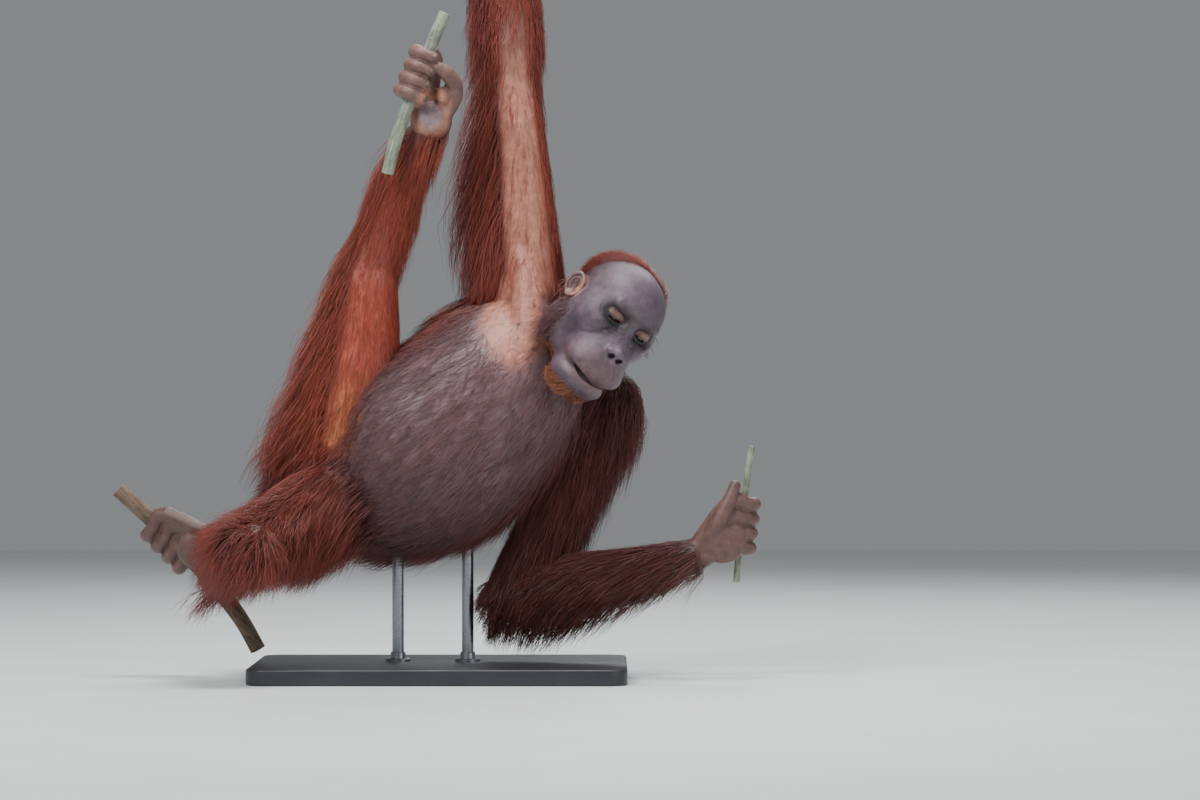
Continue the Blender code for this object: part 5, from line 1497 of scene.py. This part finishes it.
def bark_finish(name, colour, grain, spots):
    """Thin bark: matt, cracked along the stem, with paler corky spots on the green stems."""
    made = new_material(name, Roughness=0.78)
    coords = add_node(made, "Attribute", attribute_name="stem").outputs["Vector"]
    place = add_node(made, "TexCoord").outputs["Object"]
    # Fibres run along the stem: the pattern is drawn out eight times as long as it is wide
    fibre = add_node(made, "TexNoise", [(coords, "Vector")], in_Scale=1 / grain, in_Detail=6.0,
                     in_Roughness=0.65)
    patch = add_node(made, "TexNoise", [(place, "Vector")], in_Scale=1 / 0.018, in_Detail=3.0)
    base = np.array(colour)
    tone = add_node(made, "ValToRGB", [(fibre, "Fac")], None, ((0.32, base * 0.42), (0.68, base * 1.25)))
    spot = add_node(made, "TexVoronoi", [(place, "Vector")], in_Scale=1 / 0.006)
    dots = add_node(made, "MapRange", [(spot, "Value")],
                    in_From_Min=0.10, in_From_Max=0.22, in_To_Min=spots, in_To_Max=0.0)
    pale = add_node(made, "Mix", [(dots, "Factor"), (tone, 6)], data_type="RGBA",
                    in_7=(*linear("B9BBA6"), 1))
    stain = add_node(made, "MapRange", [(patch, "Value")],
                     in_From_Min=0.35, in_From_Max=0.65, in_To_Min=0.72, in_To_Max=1.1)
    add_node(made, "VectorMath", [(pale.outputs[2], 0), (stain, "Scale")], "Base Color",
             operation="SCALE")
    add_node(made, "Bump", [(fibre, "Height")], "Normal", in_Strength=0.6, in_Distance=0.0012)
    return made


def board_finish(colour):
    """Satin paint on a wooden board: even colour, a soft sheen, brush lines and a faint grain."""
    made = new_material("satin painted board")
    place = add_node(made, "TexCoord").outputs["Object"]
    # Brush lines 1.5 mm apart along the board's length
    stretch = add_node(made, "Mapping", [(place, "Vector")], in_Scale=(0.03, 1.0, 1.0))
    lines = add_node(made, "TexNoise", [(stretch, "Vector")], in_Scale=1 / 0.0015, in_Detail=3.0)
    patch = add_node(made, "TexNoise", [(place, "Vector")], in_Scale=1 / 0.06, in_Detail=5.0)
    base = np.array(colour)
    add_node(made, "ValToRGB", [(patch, "Fac")], "Base Color",
             ((0.35, base * 0.85), (0.70, base * 1.20)))
    add_node(made, "MapRange", [(lines, "Value")], "Roughness",
             in_From_Min=0.3, in_From_Max=0.7, in_To_Min=0.34, in_To_Max=0.48)
    add_node(made, "Bump", [(lines, "Height")], "Normal", in_Strength=0.25, in_Distance=0.0003)
    return made


def steel_finish(colour):
    """Brushed stainless steel: fine lines round the rod that break up its highlights."""
    made = new_material("brushed stainless steel", Metallic=1.0)
    place = add_node(made, "TexCoord").outputs["Object"]
    # Lines 0.6 mm apart up the rod, drawn coarser than real ones so that they show
    squash = add_node(made, "Mapping", [(place, "Vector")], in_Scale=(0.04, 0.04, 1.0))
    lines = add_node(made, "TexNoise", [(squash, "Vector")], in_Scale=1 / 0.0006, in_Detail=2.0)
    base = np.array(colour)
    add_node(made, "ValToRGB", [(lines, "Fac")], "Base Color", ((0, base * 0.75), (1, base * 1.15)))
    add_node(made, "MapRange", [(lines, "Value")], "Roughness",
             in_From_Min=0.3, in_From_Max=0.7, in_To_Min=0.24, in_To_Max=0.40)
    return made


def floor_finish():
    """Pale matt paint on a studio floor, with clouds of tone so faint that it looks even."""
    made = new_material("pale studio floor paint", Roughness=0.7)
    place = add_node(made, "TexCoord").outputs["Object"]
    grain = add_node(made, "TexNoise", [(place, "Vector")], in_Scale=1 / 0.25, in_Detail=5.0)
    add_node(made, "ValToRGB", [(grain, "Fac")], "Base Color",
             ((0, linear("C9CBCC")), (1, linear("D6D8D9"))))
    return made


def deliver(piece, slot, *nodes, moved=True):
    """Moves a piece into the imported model's frame and says what it rides on and stands for."""
    if moved:
        piece.data.transform(Matrix.Translation(SHIFT))
    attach(piece, "root")
    if nodes:
        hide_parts(*nodes)


def root_samples(skin, density, count, draw):
    """Points spread over the skin by density, with the skin's normal at each."""
    mesh = skin.data
    mesh.calc_loop_triangles()
    corners = np.empty(len(mesh.loop_triangles) * 3, dtype=np.int32)
    mesh.loop_triangles.foreach_get("vertices", corners)
    corners = corners.reshape(-1, 3)
    points = points_of(mesh)
    normals = normals_of(mesh)
    a, b, c = (points[corners[:, k]] for k in range(3))
    area = np.linalg.norm(np.cross(b - a, c - a), axis=1) / 2
    share = area * density[corners].mean(axis=1)
    chosen = draw.choice(len(corners), size=count, p=share / share.sum())
    u, v = draw.random(count), draw.random(count)
    over = u + v > 1
    u, v = np.where(over, 1 - u, u), np.where(over, 1 - v, v)
    w = 1 - u - v
    spot = a[chosen] * w[:, None] + b[chosen] * u[:, None] + c[chosen] * v[:, None]
    turned = sum(normals[corners[chosen, k]] * s[:, None] for k, s in enumerate((w, u, v)))
    return spot, unit(turned)


def unit(vectors):
    """Directions of length one."""
    return vectors / np.maximum(np.linalg.norm(vectors, axis=1), 1e-9)[:, None]


def clumped(paths, size, pull, draw):
    """Draws each tuft's outer half towards the leader of its clump."""
    count = len(paths)
    leaders = draw.choice(count, size=max(1, count // size), replace=False)
    tree = KDTree(len(leaders))
    for i, leader in enumerate(leaders):
        tree.insert(paths[leader, 0], i)
    tree.balance()
    nearest = np.array([tree.find(p)[1] for p in paths[:, 0]])
    lead = paths[leaders[nearest]]
    steps = paths.shape[1]
    share = (np.arange(steps) / (steps - 1)) ** 1.5
    return paths + (lead - paths) * (share[None, :, None] * pull[:, None, None])


def tuft_mesh(name, paths, outward, widths, colours, spots, finish):
    """One mesh of thin closed tufts: three-sided, widest low down, tapering to a point."""
    count, steps = paths.shape[0], paths.shape[1]
    rings = steps - 1
    profile = np.interp(np.arange(rings) / rings, (0.0, 0.35, 1.0), (0.75, 1.0, 0.35))
    verts = np.empty((count, rings * 3 + 1, 3))
    for k in range(rings):
        run = unit(paths[:, k + 1] - paths[:, max(k - 1, 0)])
        across = unit(np.cross(run, outward))
        lift = np.cross(across, run)
        half = (widths * profile[k] / 2)[:, None]
        thick = half * 0.55
        verts[:, k * 3] = paths[:, k] + across * half - lift * thick
        verts[:, k * 3 + 1] = paths[:, k] + lift * thick
        verts[:, k * 3 + 2] = paths[:, k] - across * half - lift * thick
    verts[:, -1] = paths[:, -1]
    faces = [(2, 1, 0)]
    for k in range(rings - 1):
        for i in range(3):
            a, b = k * 3 + i, k * 3 + (i + 1) % 3
            faces += [(a, b, b + 3), (a, b + 3, a + 3)]
    top = (rings - 1) * 3
    faces += [(top + i, top + (i + 1) % 3, rings * 3) for i in range(3)]
    faces = np.array(faces)
    per = rings * 3 + 1
    corners = (faces[None] + (np.arange(count) * per)[:, None, None]).reshape(-1)
    mesh = bpy.data.meshes.new(name)
    mesh.vertices.add(count * per)
    mesh.vertices.foreach_set("co", verts.ravel())
    total = count * len(faces)
    mesh.loops.add(total * 3)
    mesh.loops.foreach_set("vertex_index", corners)
    mesh.polygons.add(total)
    mesh.polygons.foreach_set("loop_start", np.arange(total) * 3)
    mesh.polygons.foreach_set("use_smooth", np.ones(total, dtype=bool))
    share = np.append(np.repeat(np.arange(rings) / rings, 3), 1.0)
    write_value(mesh, "along", np.tile(share, count))
    write_colour(mesh, "hair_colour", np.repeat(colours, per, axis=0))
    # A tuft's place on the unwrap: a patch 3 thousandths across at its root
    patch = np.stack([np.append(np.tile((-0.5, 0.0, 0.5), rings), 0.0), share - 0.5], axis=1) * 0.003
    places = (spots[:, None, :] + patch[None]).reshape(-1, 2)
    layer = mesh.uv_layers.new(name="OFBake")
    layer.data.foreach_set("uv", places[corners].ravel())
    mesh.update(calc_edges=True)
    mesh.materials.append(finish)
    made = bpy.data.objects.new(name, mesh)
    bpy.context.scene.collection.objects.link(made)
    return made


def atlas_place(number, along, angle):
    """A place on the unwrap of the skin: each length of the body has its own field."""
    column, row = number % 4, number // 4
    u = (column + 0.05 + 0.90 * ((angle / math.tau) % 1.0)) / 4
    v = (row + 0.05 + 0.90 * np.clip(along, 0, 1)) / 3
    return np.stack([u, v], axis=1)


class APE_OT_skin(Operator):
    """One closed skin over trunk, limbs and head, with lids, lips, nostrils, folds and ears"""
    bl_idname = "ape.skin"
    bl_label = "Skin"

    def execute(self, context):
        ends = SimpleNamespace(chains=[], pads=[], nails=[])
        skin = skin_mesh(ends)
        for name, forms in (("mouth", mouth_cutter), ("nostrils", nostril_cutters),
                            ("eyeballs", eyeball_cutters), ("eyelids", eyelid_cutters)):
            tool = cutter(name, forms)
            boolean(skin, tool, "DIFFERENCE")
            remove(tool)
        for side in "rl":
            ear = ear_form(side)
            boolean(skin, ear, "UNION")
            remove(ear)
        if len(skin.data.vertices) < FEWEST_POINTS:
            raise RuntimeError("the skin was lost in a cut")
        paint_skin(skin, Body(), context.scene.ape_skin, context.scene.ape_coat)
        skin.data.materials.clear()
        skin.data.materials.append(skin_finish())
        smooth_shading(skin)
        grow_nails(ends.nails)
        return {"FINISHED"}


def grow_nails(nails):
    """A small curved plate on the back of each digit's tip."""
    bm = bmesh.new()
    for centre, outward, forward, across, radius in nails:
        turn = Matrix((across, forward, outward)).transposed()
        place = Matrix.Translation(centre) @ turn.to_4x4()
        made = bmesh.ops.create_icosphere(bm, subdivisions=3, radius=1.0)
        bmesh.ops.transform(bm, verts=made["verts"], matrix=place @ Matrix.Diagonal(
            (radius * 0.46, radius * 0.46, radius * 0.34, 1.0)))
    plates = new_object("nails", bm, nail_finish())
    smooth_shading(plates)
    deliver(plates, "hand_skin")


class APE_OT_eyes(Operator):
    """Both eyeballs, each with its cornea, iris and pupil"""
    bl_idname = "ape.eyes"
    bl_label = "Eyes"

    def execute(self, context):
        finish = eye_finish()
        for side, out in (("r", -1), ("l", 1)):
            bm = bmesh.new()
            bmesh.ops.create_uvsphere(bm, u_segments=48, v_segments=32, radius=EYE_RADIUS)
            # The gaze runs along +Z of the ball before it is turned down and forward
            for vertex in bm.verts:
                height = vertex.co.z / EYE_RADIUS
                if height > 0.86:
                    vertex.co *= 1.0 + 0.045 * (height - 0.86) / 0.14
            eye = new_object("eyeball_" + side, bm, finish)
            points = points_of(eye.data)
            away = np.degrees(np.arccos(np.clip(unit(points)[:, 2], -1, 1)))
            colour = mix(linear("050404"), linear("3A1D12"), ramp(away, 9, 12))
            colour = mix(colour, linear("5C4640"), ramp(away, 29, 33))
            write_colour(eye.data, "eye_colour", colour)
            centre = mirrored(EYE_CENTRE)[out > 0]
            gaze = Matrix.Rotation(math.radians(112), 4, "X")
            eye.data.transform(head_place() @ Matrix.Translation(centre) @ gaze)
            smooth_shading(eye)
            deliver(eye, "eye", "eye_" + side)
        return {"FINISHED"}


def coat_paths(body, spot, normal, places, scale, draw):
    """Each tuft's way from its root out to the tips of the coat, along its lie."""
    count, steps = len(spot), TUFT_STEPS
    shares = np.arange(steps) / (steps - 1)
    paths = np.zeros((count, steps, 3))
    length = draw.uniform(0.65, 1.15, count) * scale
    rise = draw.beta(1.9, 1.3, count) * 1.10 * scale
    turn = draw.normal(0.0, 0.11, count)
    stray = draw.random(count) < 0.22
    turn = np.where(stray, turn * 2.2, turn)
    rise = np.where(stray, rise * draw.uniform(1.0, 1.35, count), rise)
    sag_share = draw.uniform(0.4, 1.5, count)
    for name, (along, angle, weight) in places.items():
        used = weight > 0.02
        if not used.any():
            continue
        skin, tips = body.skins[name], body.tips[name]
        run, sag = body.LIE[name]
        a, w = along[used], angle[used]
        start = ring_points(skin, a, w)
        for k, share in enumerate(shares):
            there = a + run * share * length[used]
            around = w + turn[used] * share
            low = ring_points(skin, there, around)
            high = ring_points(tips, there, around)
            grown = (share * 1.9 - share ** 2 * 0.9) * rise[used]
            step = low - start + (high - low) * grown[:, None]
            step[:, 2] -= sag * share ** 2 * sag_share[used] * scale[used]
            paths[used, k] += step * weight[used][:, None]
    low_leg = places["thigh_l"][2] * ramp(places["thigh_l"][0], 0.15, 0.6) + places["shin_l"][2]
    hung = hanging(normal, scale, draw)
    paths += (hung - paths) * np.clip(low_leg, 0, 1)[:, None, None]
    paths += spot[:, None, :]
    # The lie must leave the skin: a tuft that would sink keeps a little way off it
    for k in range(1, steps):
        height = ((paths[:, k] - spot) * normal).sum(axis=1)
        least = 0.0012 + 0.003 * shares[k] * (rise + 0.3)
        paths[:, k] += normal * np.clip(least - height, 0, 0.02)[:, None]
    paths[:, 0] = spot - normal * 0.0015
    return paths


class APE_OT_coat(Operator):
    """The coat of trunk and limbs, in long tapered tufts that lie and hang as hair does"""
    bl_idname = "ape.coat"
    bl_label = "Coat"

    def execute(self, context):
        coat = context.scene.ape_coat
        skin = bpy.data.objects["skin"]
        draw = np.random.default_rng(SEED)
        body = Body()
        points = points_of(skin.data)
        places = body.places(points)
        on_head, _ = head_share(points)
        thin = thinness(points, places)
        density = (1 - bareness(points)) * (1 - on_head) * (1 - 0.45 * front(places))
        density *= 1 - (0.45 + 0.40 * inner_arm(points, places)) * ramp(thin, 0.5, 1.0)
        density = np.where((1 - bareness(points)) * (1 - on_head) < 0.25, 0, density)
        count = coat.tufts
        spot, normal = root_samples(skin, density, count, draw)
        places = body.places(spot)
        thin = thinness(spot, places)
        scale = (1 - 0.76 * thin) * (1 - 0.45 * places["neck"][2])
        paths = coat_paths(body, spot, normal, places, scale, draw)
        paths = clumped(paths, 26, draw.uniform(0.15, 0.70, count) * (1 - 0.6 * thin), draw)
        wave = draw.normal(0, 0.0024, (count, 3, 3)) * scale[:, None, None]
        paths[:, 1:] += wave * np.array([0.6, 1.0, 1.5])[None, :, None]
        kept_in_reach(paths)
        colour = hair_colour(spot, places, coat)
        colour *= draw.uniform(0.70, 1.25, count)[:, None]
        # Some tufts are bleached by the sun
        pale = (draw.random(count) < 0.10)[:, None]
        colour = np.where(pale, colour * np.array([1.45, 1.30, 1.15]), colour)
        widths = coat.width * draw.uniform(0.65, 1.25, count) * (1 - 0.5 * thin)
        finish = hair_finish()
        # The left arm's tufts carry the painted shade of its hair colour
        slots = {"upper_arm_l": "dark_coat", "forearm_l": "dark_coat", "torso": "belly_coat"}
        names = list(places)
        owner = np.argmax([places[n][2] for n in names], axis=0)
        for number, name in enumerate(names):
            mine = np.nonzero(owner == number)[0]
            parts = max(1, math.ceil(len(mine) * TUFT_FACES / PIECE_FACES))
            for part in range(parts):
                rows = mine[part::parts]
                if not len(rows):
                    continue
                along, angle, _ = places[name]
                spots = atlas_place(number, along[rows], angle[rows])
                piece = tuft_mesh(f"coat_{name}_{part + 1}", paths[rows], normal[rows], widths[rows],
                                  colour[rows], spots, finish)
                deliver(piece, slots.get(name, "coat"))
        return {"FINISHED"}


def kept_in_reach(paths):
    """Lays down hair that would stand out in front of the model's reach or touch the board."""
    floor = HAIR_FLOOR - SHIFT.z
    paths[:, :, 2] += np.clip(floor - paths[:, :, 2], 0, None)
    nearest = CAD_BOX[0][1] - SHIFT.y - HAIR_REACH
    paths[:, :, 1] += 0.85 * np.clip(nearest - paths[:, :, 1], 0, None)


class APE_OT_head_hair(Operator):
    """Hair over the crown and nape, whiskers along the jaw, and a few hairs on the muzzle"""
    bl_idname = "ape.head_hair"
    bl_label = "Head hair"

    def execute(self, context):
        coat = context.scene.ape_coat
        skin = bpy.data.objects["skin"]
        draw = np.random.default_rng(SEED + 1)
        points = points_of(skin.data)
        on_head, local = head_share(points)
        ears = ear_share(local, 0.006)
        muzzle = face_parts(local)[2]
        off_lips = np.abs(local[:, 2] + 0.108) > 0.013
        density = hairline(local) * (1 - 0.45 * whiskers(local)) + 0.03 * (muzzle > 0.6) * off_lips
        density *= on_head
        density = np.where(ears > 0.01, 0, density)
        density = np.where(density < 0.02, 0, density)
        count = coat.head_tufts
        spot, normal = root_samples(skin, density, count, draw)
        place = head_place()
        root = transformed(spot, place.inverted())
        out = normal @ np.array(place.to_3x3())
        beard = whiskers(root)
        on_muzzle = (face_parts(root)[2] > 0.55) * (1 - hairline(root))
        cheek = (1 - ramp(root[:, 2], -0.050, -0.015)) * (1 - beard)
        length = coat.crown_length * (1 - beard) + coat.beard_length * beard
        length = length * (1 - 0.45 * cheek)
        nape = ramp(root[:, 1], 0.02, 0.07)
        edge = ramp(hairline(root), 0.3, 1.0)
        length = length * (0.45 + 0.55 * edge) * (1 + 0.5 * nape) * draw.uniform(0.6, 1.3, count)
        length = np.where(on_muzzle > 0.3, 0.007, length)
        # Over the crown the hair runs back and down; at the jaw, down and a little outwards
        side = np.sign(root[:, 0])
        back = np.stack([root[:, 0] * 6.0, np.full(count, 1.0), np.full(count, -0.25) - nape], axis=1)
        down = np.stack([side * 0.35, np.full(count, 0.35), np.full(count, -1.0)], axis=1)
        flow = unit(mix(back, down, np.clip(beard + on_muzzle + cheek * 0.7, 0, 1)))
        flow = unit(flow + draw.normal(0, 0.20, (count, 3)))
        lift = 0.22 + 0.18 * beard + draw.uniform(-0.14, 0.30, count)
        temple = ramp(root[:, 0], 0.018, 0.045) * (1 - ramp(np.abs(root[:, 2] - 0.02), 0.05, 0.085))
        lift = lift + 0.60 * temple
        length = length * (1 + 0.35 * temple)
        steps = TUFT_STEPS
        paths = np.empty((count, steps, 3))
        here = root.copy()
        paths[:, 0] = root - out * 0.0012
        normal_here = out
        for k in range(1, steps):
            away = (flow * normal_here).sum(axis=1)
            lie = unit(flow - normal_here * away[:, None])
            here = here + unit(lie + normal_here * lift[:, None]) * (length / (steps - 1))[:, None]
            paths[:, k] = here
            shell = unit((here - np.array(CROWN_CENTRE)) / np.array(CROWN_RADII) ** 2)
            normal_here = unit(mix(shell, out, np.clip(beard + 0.2, 0, 1)))
            lift = lift * 0.45
        paths = clumped(paths, 12, draw.uniform(0.2, 0.6, count), draw)
        colour = head_hair_colour(root, coat)
        colour *= draw.uniform(0.65, 1.3, count)[:, None]
        widths = coat.head_width * draw.uniform(0.6, 1.2, count)
        widths = np.where(on_muzzle > 0.3, 0.0004, widths)
        spots = atlas_place(10, 0.5 + root[:, 2] / 0.3, np.arctan2(root[:, 0], root[:, 1]))
        placed = transformed(paths.reshape(-1, 3), place).reshape(paths.shape)
        for part in range(2):
            rows = slice(part, None, 2)
            piece = tuft_mesh(f"coat_head_{part + 1}", placed[rows], normal[rows], widths[rows],
                              colour[rows], spots[rows], bpy.data.materials["ape hair"])
            deliver(piece, "coat")
        return {"FINISHED"}


class APE_OT_finish_skin(Operator):
    """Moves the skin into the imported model's frame once all hair has taken root on it"""
    bl_idname = "ape.finish_skin"
    bl_label = "Place skin"

    def execute(self, context):
        deliver(bpy.data.objects["skin"], "face_skin", *FLESH)
        return {"FINISHED"}


def stem_mesh(name, finish):
    """A cut stem: its bark ridged and knotted, its cut ends dished."""
    centre, along, radius, before, after = PERCHES[name]
    along = along.normalized()
    aside = along.orthogonal().normalized()
    knots = 8
    stations = []
    for k in range(knots + 1):
        reach = -before + (before + after) * k / knots
        free = max(0.0, abs(reach) - 0.06)
        knot = 1.0 + (0.10 * abs(math.sin(k * 2.3)) if free > 0 else 0.0)
        bowed = centre + along * reach + aside * (free ** 2 * 1.3)
        stations.append(station(bowed, radius * knot * 0.985))
    bm = bmesh.new()
    sides = 40
    loops = tube(bm, stations, depth_axis=aside, sides=sides, steps=12, round_ends=False)
    wander = np.random.default_rng(SEED + len(name))
    phase = wander.uniform(0, math.tau, 3)
    for i, loop in enumerate(loops):
        middle = sum((v.co for v in loop), Vector()) / sides
        held = max(0.0, 1 - abs((middle - centre).dot(along)) / 0.07)
        for k, vertex in enumerate(loop):
            around = math.tau * k / sides
            ridge = (math.sin(5 * around + phase[0] + i * 0.05) * 0.5
                     + math.sin(9 * around + phase[1] - i * 0.11) * 0.3
                     + math.sin(3 * around + i * 0.31 + phase[2]) * 0.4)
            vertex.co += (vertex.co - middle).normalized() * ridge * radius * 0.035 * (1 - held * 0.7)
    ends = [face for face in bm.faces if len(face.verts) > 4]
    bmesh.ops.inset_region(bm, faces=ends, thickness=radius * 0.12, depth=-radius * 0.05)
    stem = new_object("stem_" + name, bm, finish)
    points = points_of(stem.data)
    rel = points - np.array(centre)
    run = rel @ np.array(along)
    across = rel - np.outer(run, np.array(along))
    coords = across + np.outer(run / 8, np.array(along))
    attribute = stem.data.attributes.new("stem", "FLOAT_VECTOR", "POINT")
    attribute.data.foreach_set("vector", coords.ravel())
    smooth_shading(stem)
    return stem


class APE_OT_perches(Operator):
    """The short cut stems that the hands and feet hold, in bark"""
    bl_idname = "ape.perches"
    bl_label = "Perches"

    def execute(self, context):
        stand = context.scene.ape_stand
        brown = bark_finish("brown branch bark", stand.bark, 0.004, 0.15)
        green = bark_finish("green stem bark", stand.vine, 0.003, 0.75)
        for name in PERCHES:
            on_green = name in GREEN_PERCHES
            stem = stem_mesh(name, green if on_green else brown)
            deliver(stem, "vine_bark" if on_green else "branch_bark", name)
        return {"FINISHED"}


class APE_OT_stand(Operator):
    """A painted board with two brushed steel rods, each in a flange"""
    bl_idname = "ape.stand"
    bl_label = "Stand"

    def execute(self, context):
        settings = context.scene.ape_stand
        low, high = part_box("stand_base")
        bm = bmesh.new()
        bmesh.ops.create_cube(bm, size=1.0)
        size = high - low
        place = Matrix.Translation((low + high) / 2) @ Matrix.Diagonal((*size, 1.0))
        bmesh.ops.transform(bm, matrix=place, verts=bm.verts)
        upright = [e for e in bm.edges if abs(e.verts[0].co.z - e.verts[1].co.z) > size.z / 2]
        bmesh.ops.bevel(bm, geom=upright, offset=BOARD_CORNER, segments=12, affect="EDGES", profile=0.5)
        rims = [e for e in bm.edges if e.calc_face_angle(0) > 0.5]
        bmesh.ops.bevel(bm, geom=rims, offset=BOARD_EDGE, segments=4, affect="EDGES", profile=0.5)
        board = new_object("board", bm, board_finish(settings.board))
        board.data.shade_smooth()
        board.data.set_sharp_from_angle(angle=math.radians(35))
        deliver(board, "stand_board", "stand_base", moved=False)
        steel = steel_finish(settings.steel)
        for number in (1, 2):
            node = f"stand_rod_{number}"
            low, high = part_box(node)
            bm = bmesh.new()
            middle = (low + high) / 2
            radius = (high.x - low.x) / 2
            rings = (
                (low.z - 0.0002, settings.collar), (low.z + 0.0035, settings.collar),
                (low.z + 0.0045, settings.collar - 0.001), (low.z + 0.0048, radius + 0.0030),
                (low.z + 0.0130, radius + 0.0024), (low.z + 0.0140, radius + 0.0016),
                (low.z + 0.0142, radius), (high.z - 0.001, radius), (high.z, radius - 0.001),
            )
            turns = [math.tau * k / ROD_SIDES for k in range(ROD_SIDES)]
            loops = [[bm.verts.new((middle.x + wide * math.cos(turn),
                                    middle.y + wide * math.sin(turn), height))
                      for turn in turns] for height, wide in rings]
            close_loops(bm, loops)
            rod = new_object(f"rod_{number}", bm, steel)
            rod.data.shade_smooth()
            rod.data.set_sharp_from_angle(angle=math.radians(30))
            deliver(rod, "stand_rod", node, moved=False)
        return {"FINISHED"}


def soft_light(name, place, aim, size, power):
    """A round soft box at a place, turned to what it lights."""
    light = bpy.data.lights.new(name, "AREA")
    light.shape = "DISK"
    light.size = size
    light.energy = power
    lamp = bpy.data.objects.new(name, light)
    bpy.context.scene.collection.objects.link(lamp)
    lamp.location = place
    lamp.rotation_euler = (aim - place).to_track_quat("-Z", "Y").to_euler()


class APE_OT_stage(Operator):
    """Pale floor, soft studio light and the camera"""
    bl_idname = "ape.stage"
    bl_label = "Stage"

    def execute(self, context):
        bm = bmesh.new()
        bmesh.ops.create_grid(bm, x_segments=8, y_segments=8, size=FLOOR_REACH)
        floor = new_object("floor", bm, floor_finish())
        world = bpy.data.worlds.new("studio")
        context.scene.world = world
        world.use_nodes = True
        sky = world.node_tree.nodes["Background"]
        sky.inputs["Color"].default_value = (*linear("D5D9DD"), 1)
        sky.inputs["Strength"].default_value = 0.36
        for name, (place, size, power) in LIGHTS.items():
            soft_light(name, SHIFT + Vector(place), SHIFT + LIT_MIDDLE, size, power)
        camera = bpy.data.cameras.new("camera")
        camera.lens = CAMERA_LENS
        camera.sensor_width = 36
        eye = bpy.data.objects.new("camera", camera)
        context.scene.collection.objects.link(eye)
        eye.location = SHIFT + CAMERA_PLACE
        eye.rotation_euler = (math.radians(90), 0, 0)
        context.scene.camera = eye
        return {"FINISHED"}


class APE_PT_panel(Panel):
    """Sizes, colours and the steps that build the model"""
    bl_idname = "APE_PT_panel"
    bl_label = "Hanging orangutan"
    bl_space_type = "VIEW_3D"
    bl_region_type = "UI"
    bl_category = "Ape"

    def draw(self, context):
        for step in STEPS:
            self.layout.operator(step.bl_idname)
        for group in GROUPS:
            settings = getattr(context.scene, group)
            for name in settings.__annotations__:
                self.layout.prop(settings, name)


GROUPS = {
    "ape_coat": ApeCoatSettings,
    "ape_skin": ApeSkinSettings,
    "ape_stand": ApeStandSettings,
}
STEPS = (APE_OT_skin, APE_OT_eyes, APE_OT_coat, APE_OT_head_hair, APE_OT_finish_skin, APE_OT_perches,
         APE_OT_stand, APE_OT_stage)


def register():
    for made in (*GROUPS.values(), *STEPS, APE_PT_panel):
        bpy.utils.register_class(made)
    for name, group in GROUPS.items():
        setattr(bpy.types.Scene, name, PointerProperty(type=group))


def unregister():
    for name in GROUPS:
        delattr(bpy.types.Scene, name)
    for made in reversed((*GROUPS.values(), *STEPS, APE_PT_panel)):
        bpy.utils.unregister_class(made)


def main():
    register()
    bpy.ops.ape.skin()
    bpy.ops.ape.eyes()
    bpy.ops.ape.coat()
    bpy.ops.ape.head_hair()
    bpy.ops.ape.finish_skin()
    bpy.ops.ape.perches()
    bpy.ops.ape.stand()
    bpy.ops.ape.stage()


if __name__ == "__main__":
    main()
